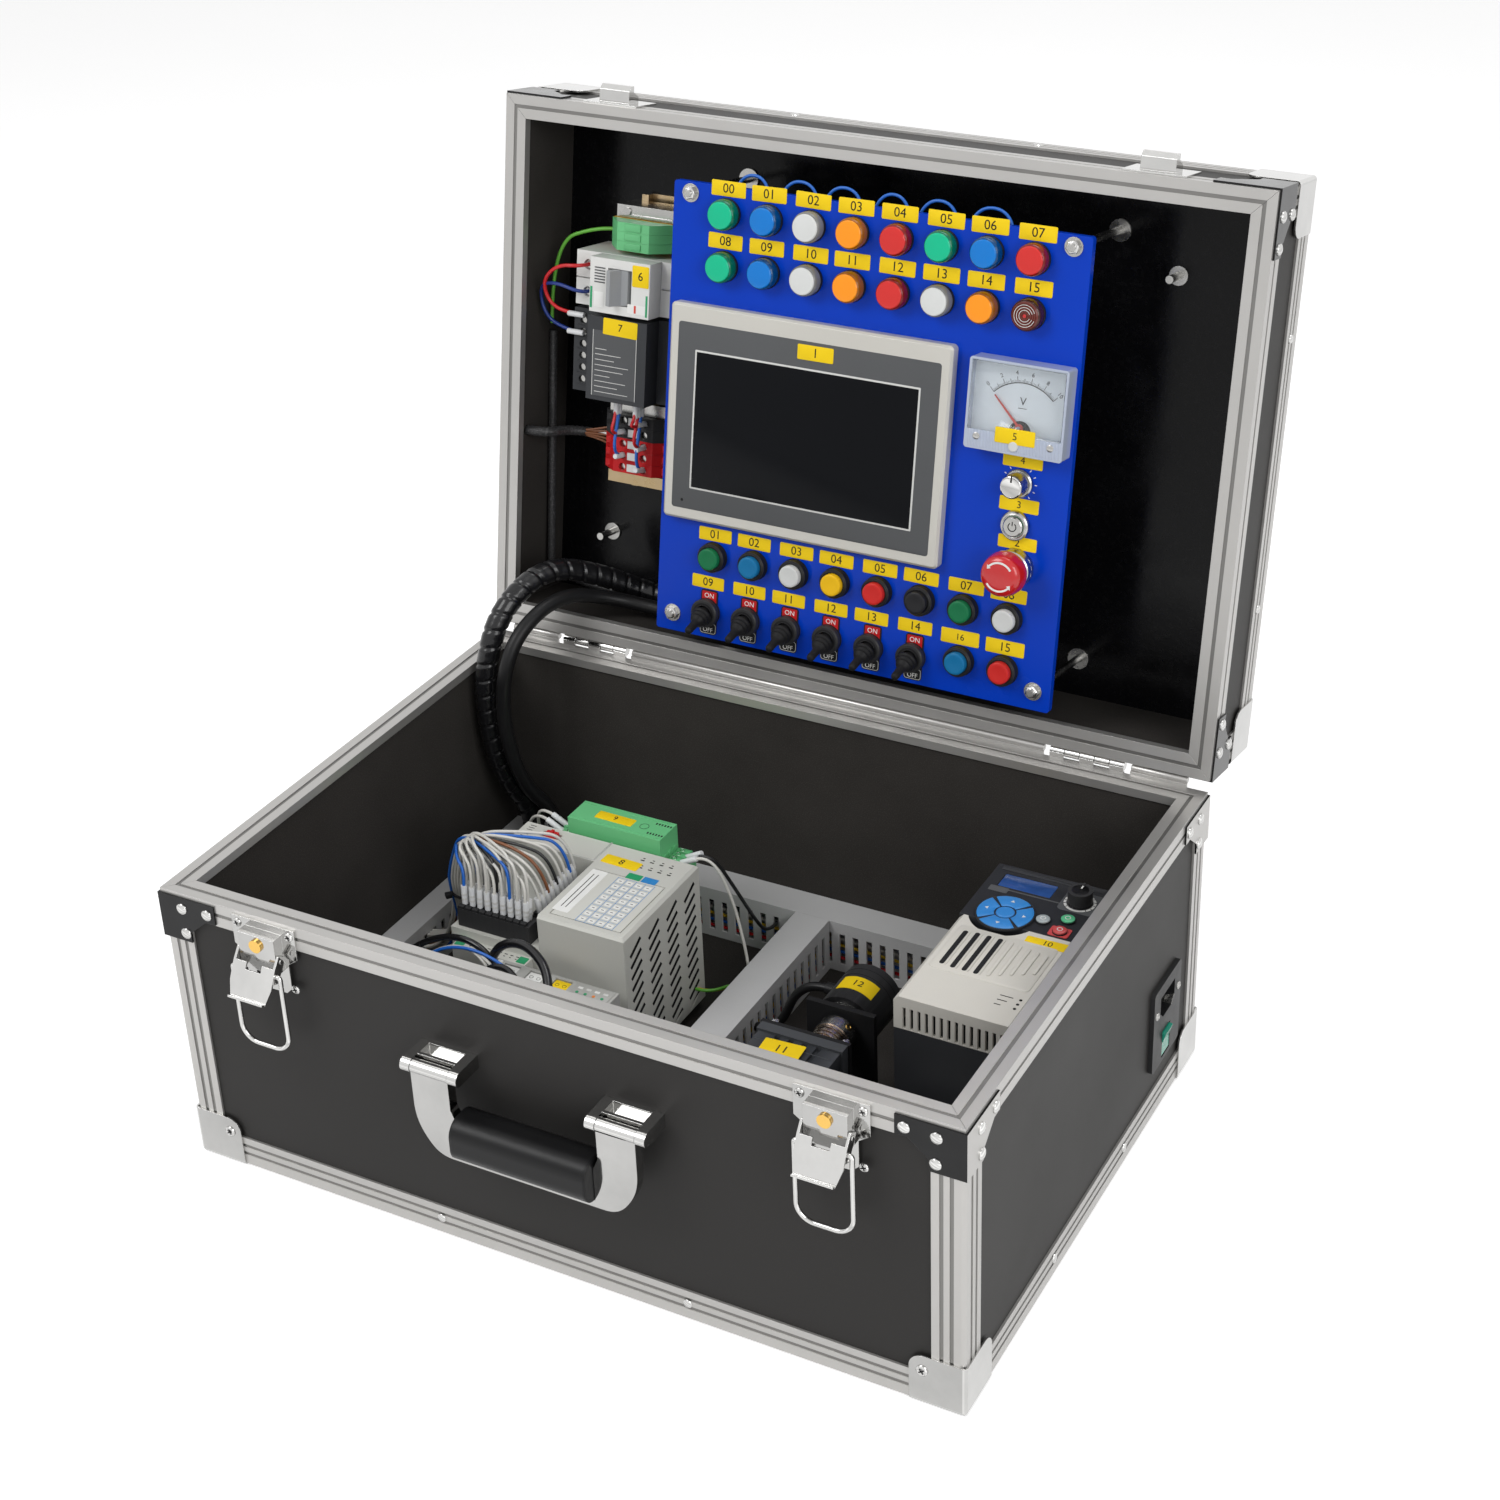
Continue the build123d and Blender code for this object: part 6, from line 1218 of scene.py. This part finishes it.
drive.add(block((162, 235), (28.4, 28.9), (150.5, drive_top + 0.1), 0.1), drive_black)
drive.done()
knob_cap = Piece("drive_knob_cap", "inverter_knob", at(*dial_at))
fluted = [(7.7, 0.6), (7.9, 1.0), (7.6, 2.0), (6.9, 3.4), (6.7, 8.0), (6.2, 9.0), (5.2, 9.4), (0, 9.4)]
knob_cap.add(turned(fluted, 72, (24, 0.35, 6.6)), black_plastic)
knob_cap.add(block((-0.5, 0.5), (1.5, 6.3), (9.2, 9.6), 0.1), pale_ink)
knob_cap.done()

# Motor, coupling and encoder: screws, labels and clamp screws
axis_x, axis_z = 93, 80
motor = Piece("motor_details", "base")
for dx in (-23.5, 23.5):
    for dz in (-23.5, 23.5):
        x, z = axis_x + dx, axis_z + dz
        motor.add(turned([(4.4, 0), (4.4, 0.7), (2.6, 0.75)], 28), steel, at(x, -36.9, z, X=-90))
        motor.add(turned([(3.7, 0.6), (3.8, 0.9), (3.75, 3.3), (3.2, 3.9), (2.1, 4.0)], 6), steel,
                  at(x, -36.9, z, X=-90, Z=20))
        motor.add(turned([(2.0, 3.9), (2.0, 6.2), (1.5, 6.6), (0, 6.6)], 20), steel, at(x, -36.9, z, X=-90))
        motor.add(turned([(3.5, 0), (3.5, 2.8), (3.0, 3.4), (1.7, 3.4), (1.6, 2.2), (0, 2.2)], 24), steel,
                  at(x, -47.1, z, X=90))
tag(motor, 88, -60, 108.6, 26, 15, "11", 9, 4)
for k in range(9):
    y = -55 - 9 * k
    motor.add(block((66.6, 119.4), (y - 0.35, y + 0.35), (106.8, 107.25), 0.1), anodised)
motor.done()
encoder = Piece("encoder_label", "base")
encoder.add(prism(sector(20.05, 20.4, 50, 122, 22), -35, -22), label_yellow, at(axis_x, 0, axis_z, X=90))
encoder.add(lettering("12", 7.5), ink, at(axis_x + 1.2, 28.5, 100.38, Y=4))
for y in (38, 44):
    encoder.add(turned([(20.15, 0), (20.3, 0.3), (20.15, 0.6)], 60), soft_black,
                at(axis_x, y, axis_z, X=-90))
encoder.done()
hub = Piece("coupling_screws", "drive_line")
for turn in (45, 225):
    for y in (-31.5, 0.2):
        hub.add(turned([(2.2, 11.9), (2.2, 12.7), (1.2, 12.8), (1.1, 12.1), (0, 12.1)], 20), brass,
                at(axis_x, y, axis_z, Y=turn))
hub.done()
wires("encoder_cable", "base", smooth_jacket,
      [[(65.7, 41, 80), (47, 41, 80), (31.8, 38, 36.8), (15.8, 38, 36.8)]], 3.0)
wires("unit_cable", "base", smooth_jacket, [
    [(206.5, -143.5, 102.1), (206.5, -143.5, 122.8), (168.5, -138.5, 126.8), (154.5, -136, 96.8),
     (152.5, -136, 60), (121.8, -136, 60)]], 3.0)
wires("unit_wires", "base", wire["dark_blue"], [
    [(213, -141, 101.9), (213, -139, 120), (214, -110, 124), (205, -74, 108), (196, -66.5, 84),
     (190, -61.9, 70)]], 1.3)
unit = Piece("unit_details", "base")
unit.add(plate(34, 20, 0.8, 106.8, 106.95, 186, -86), line_silver)
for k, long in enumerate((26, 20, 28, 14, 22)):
    unit.add(block((171, 171 + long), (-80 - 3.1 * k, -79.5 - 3.1 * k), (106.95, 107.0), 0), ink)
unit.add(plate(35, 6, 0.5, 101.8, 101.95, 219.5, -137.6), red_key)
unit.add(plate(35, 9.4, 0.5, 101.8, 101.95, 219.5, -145.6), paper)
for y in (-143.6, -146.6):
    unit.add(block((205, 232), (y, y + 0.5), (101.95, 102.0), 0), ink)
for x in (170, 238.5):
    unit.add(turned([(2.4, 106.8), (2.3, 107.3), (0, 107.4)], 20), steel, at(x, -150, 0))
unit.done()

# Screws of the mains inlet
inlet = Piece("inlet_details", "base")
for y in (100.6, 137.4):
    inlet.add(turned([(2.6, 0), (2.5, 0.6), (1.6, 1.2), (1.4, 0.9), (0, 0.9)], 24), steel,
              at(261.5, y, 80, Y=90))
inlet.done()

# Rivets and screws of the case. On the left and on the lid's top the CAD box leaves no room: sunk heads
full_head = [(3.7, 0), (3.6, 0.7), (2.9, 1.4), (1.6, 1.8), (0, 1.9)]
sunk_head = [(3.7, -1.0), (3.6, -0.5), (2.9, -0.1), (0, -0.02)]
small_head = [(3.0, 0), (2.9, 0.5), (2.2, 1.0), (0, 1.25)]
bracket_spots = ((145.5, 9.9), (164, 10.5), (163.4, 27.6))
rivets = Piece("edging_rivets", "base")
lid_rivets = Piece("lid_rivets", "lid", LID)


def cross_screw(profile, spot, half, narrow, low, turn):
    rivets.add(turned(profile, 24), chrome, spot)
    for across in (turn, turn + 90):
        rivets.add(block((-half, half), (-narrow, narrow), (low, low + 0.42), 0.05), ink,
                   spot @ at(0, 0, 0, Z=across))


for x in (-80, 88):
    rivets.add(turned(small_head, 28), chrome, at(x, -179.9, 12, X=90))
    rivets.add(turned(small_head, 28), chrome, at(x, 179.9, 12, X=-90))
    lid_rivets.add(turned(small_head, 28), chrome, at(x, 359.9, -60, X=-90))
for side in (-1, 1):
    side_head = full_head if side > 0 else sunk_head
    for y in (-55, 55):
        rivets.add(turned(small_head, 28), chrome, at(side * 259.9, y, 12, Y=side * 90))
    for u in (95, 265):
        lid_rivets.add(turned(small_head, 28), chrome, at(side * 259.9, u, -60, Y=side * 90))
    for along, down in bracket_spots:
        for front in (-1, 1):
            rivets.add(turned(full_head, 28), chrome,
                       at(side * (along + 80), front * 181.2, 196.6 - down, X=-front * 90))
            rivets.add(turned(side_head, 28), chrome,
                       at(side * 261.2, front * along, 196.6 - down, Y=side * 90))
            lid_rivets.add(turned(side_head, 28), chrome,
                           at(side * 261.2, 180 + front * along, 0.6 - down, Y=side * 90))
        lid_rivets.add(turned(sunk_head, 28), chrome, at(side * (along + 80), 361.2, 0.6 - down, X=-90))
    for dx in (-18.5, 18.5):
        for z in (189, 152.5):
            cross_screw([(2.9, 0), (2.8, 0.7), (1.9, 1.4), (1.5, 1.1), (0, 1.0)],
                        at(side * 184 + dx, -181.4, z, X=90), 1.7, 0.3, 1.0, 20)
    for front in (-1, 1):
        cross_screw([(3.6, 0), (3.5, 0.8), (2.6, 1.5), (1.8, 1.2), (0, 1.1)],
                    at(side * 235, front * 181.1, 24, X=-front * 90), 1.9, 0.32, 1.1, 35)
rivets.done()
lid_rivets.done()

# Rear rim strip beside and between the hinges: a rod on their axis over a flat bar, and a thin dark strip as
# painted shade for its groove
rim_strip = Piece("rear_rim_strip", "base")
for start, end in ((-246, -209), (-151, 151), (209, 246)):
    long = end - start
    round_bar = [(0, 0), (2.0, 0.2), (2.2, 0.6), (2.2, long - 0.6), (2.0, long - 0.2), (0, long)]
    rim_strip.add(turned(round_bar, 28), edging["x"], at(start, pin_y, pin_z, Y=90))
    rim_strip.add(block((start, end), (180.05, 182.0), (186, 197.9), 0.3), edging["x"])
    rim_strip.add(block((start, end), (181.9, 182.1), (190, 190.8), 0.05), groove)
rim_strip.done()


# Floor, world and lamps. What the camera sees of the floor and world is brighter than what lights the scene
def seen(tree):
    """One for rays from the camera, mirrors and glass, and nought for light on other pieces."""
    rays = node(tree, "LightPath", {}).outputs
    first = node(tree, "Math", {0: rays["Is Camera Ray"], 1: rays["Is Glossy Ray"]},
                 operation="MAXIMUM").outputs[0]
    return node(tree, "Math", {0: first, 1: rays["Is Transmission Ray"]}, operation="MAXIMUM").outputs[0]


floor_mesh = bmesh.new()
bmesh.ops.create_grid(floor_mesh, x_segments=1, y_segments=1, size=6)
floor_piece = mesh_piece("floor", floor_mesh, [floor_pale])
floor_piece.location.z = -0.0002
tree = floor_pale.node_tree
faint = node(tree, "Math", {0: seen(tree), 1: 0.45}, operation="MULTIPLY").outputs[0]
glow = node(tree, "Emission", {"Strength": faint})
both = node(tree, "AddShader", {0: tree.nodes["Principled BSDF"].outputs[0], 1: glow.outputs[0]})
feed(tree, tree.nodes["Material Output"], {"Surface": both.outputs[0]})

world = bpy.data.worlds.new("studio")
scene.world = world
world.use_nodes = True
tree = world.node_tree
tree.nodes.clear()
strength = node(tree, "MapRange", {"Value": seen(tree), "To Min": 0.42, "To Max": 1.0}).outputs["Result"]
sky = node(tree, "Background", {"Color": (1, 1, 1, 1), "Strength": strength})
node(tree, "OutputWorld", {"Surface": sky.outputs[0]})


def lamp(name, place, target, size, power):
    light = bpy.data.lights.new(name, "AREA")
    light.size = size
    light.energy = power
    holder = bpy.data.objects.new(name, light)
    scene.collection.objects.link(holder)
    holder.location = place
    holder.rotation_euler = (Vector(target) - Vector(place)).to_track_quat("-Z", "Y").to_euler()


lamp("key", (-1.3, -1.5, 2.2), (0, 0, 0.2), 1.3, 32)
lamp("fill", (1.9, -1.2, 1.4), (0, 0, 0.2), 1.4, 26)
lamp("top", (0.2, 0.9, 2.4), (0, 0.1, 0.1), 1.2, 16)
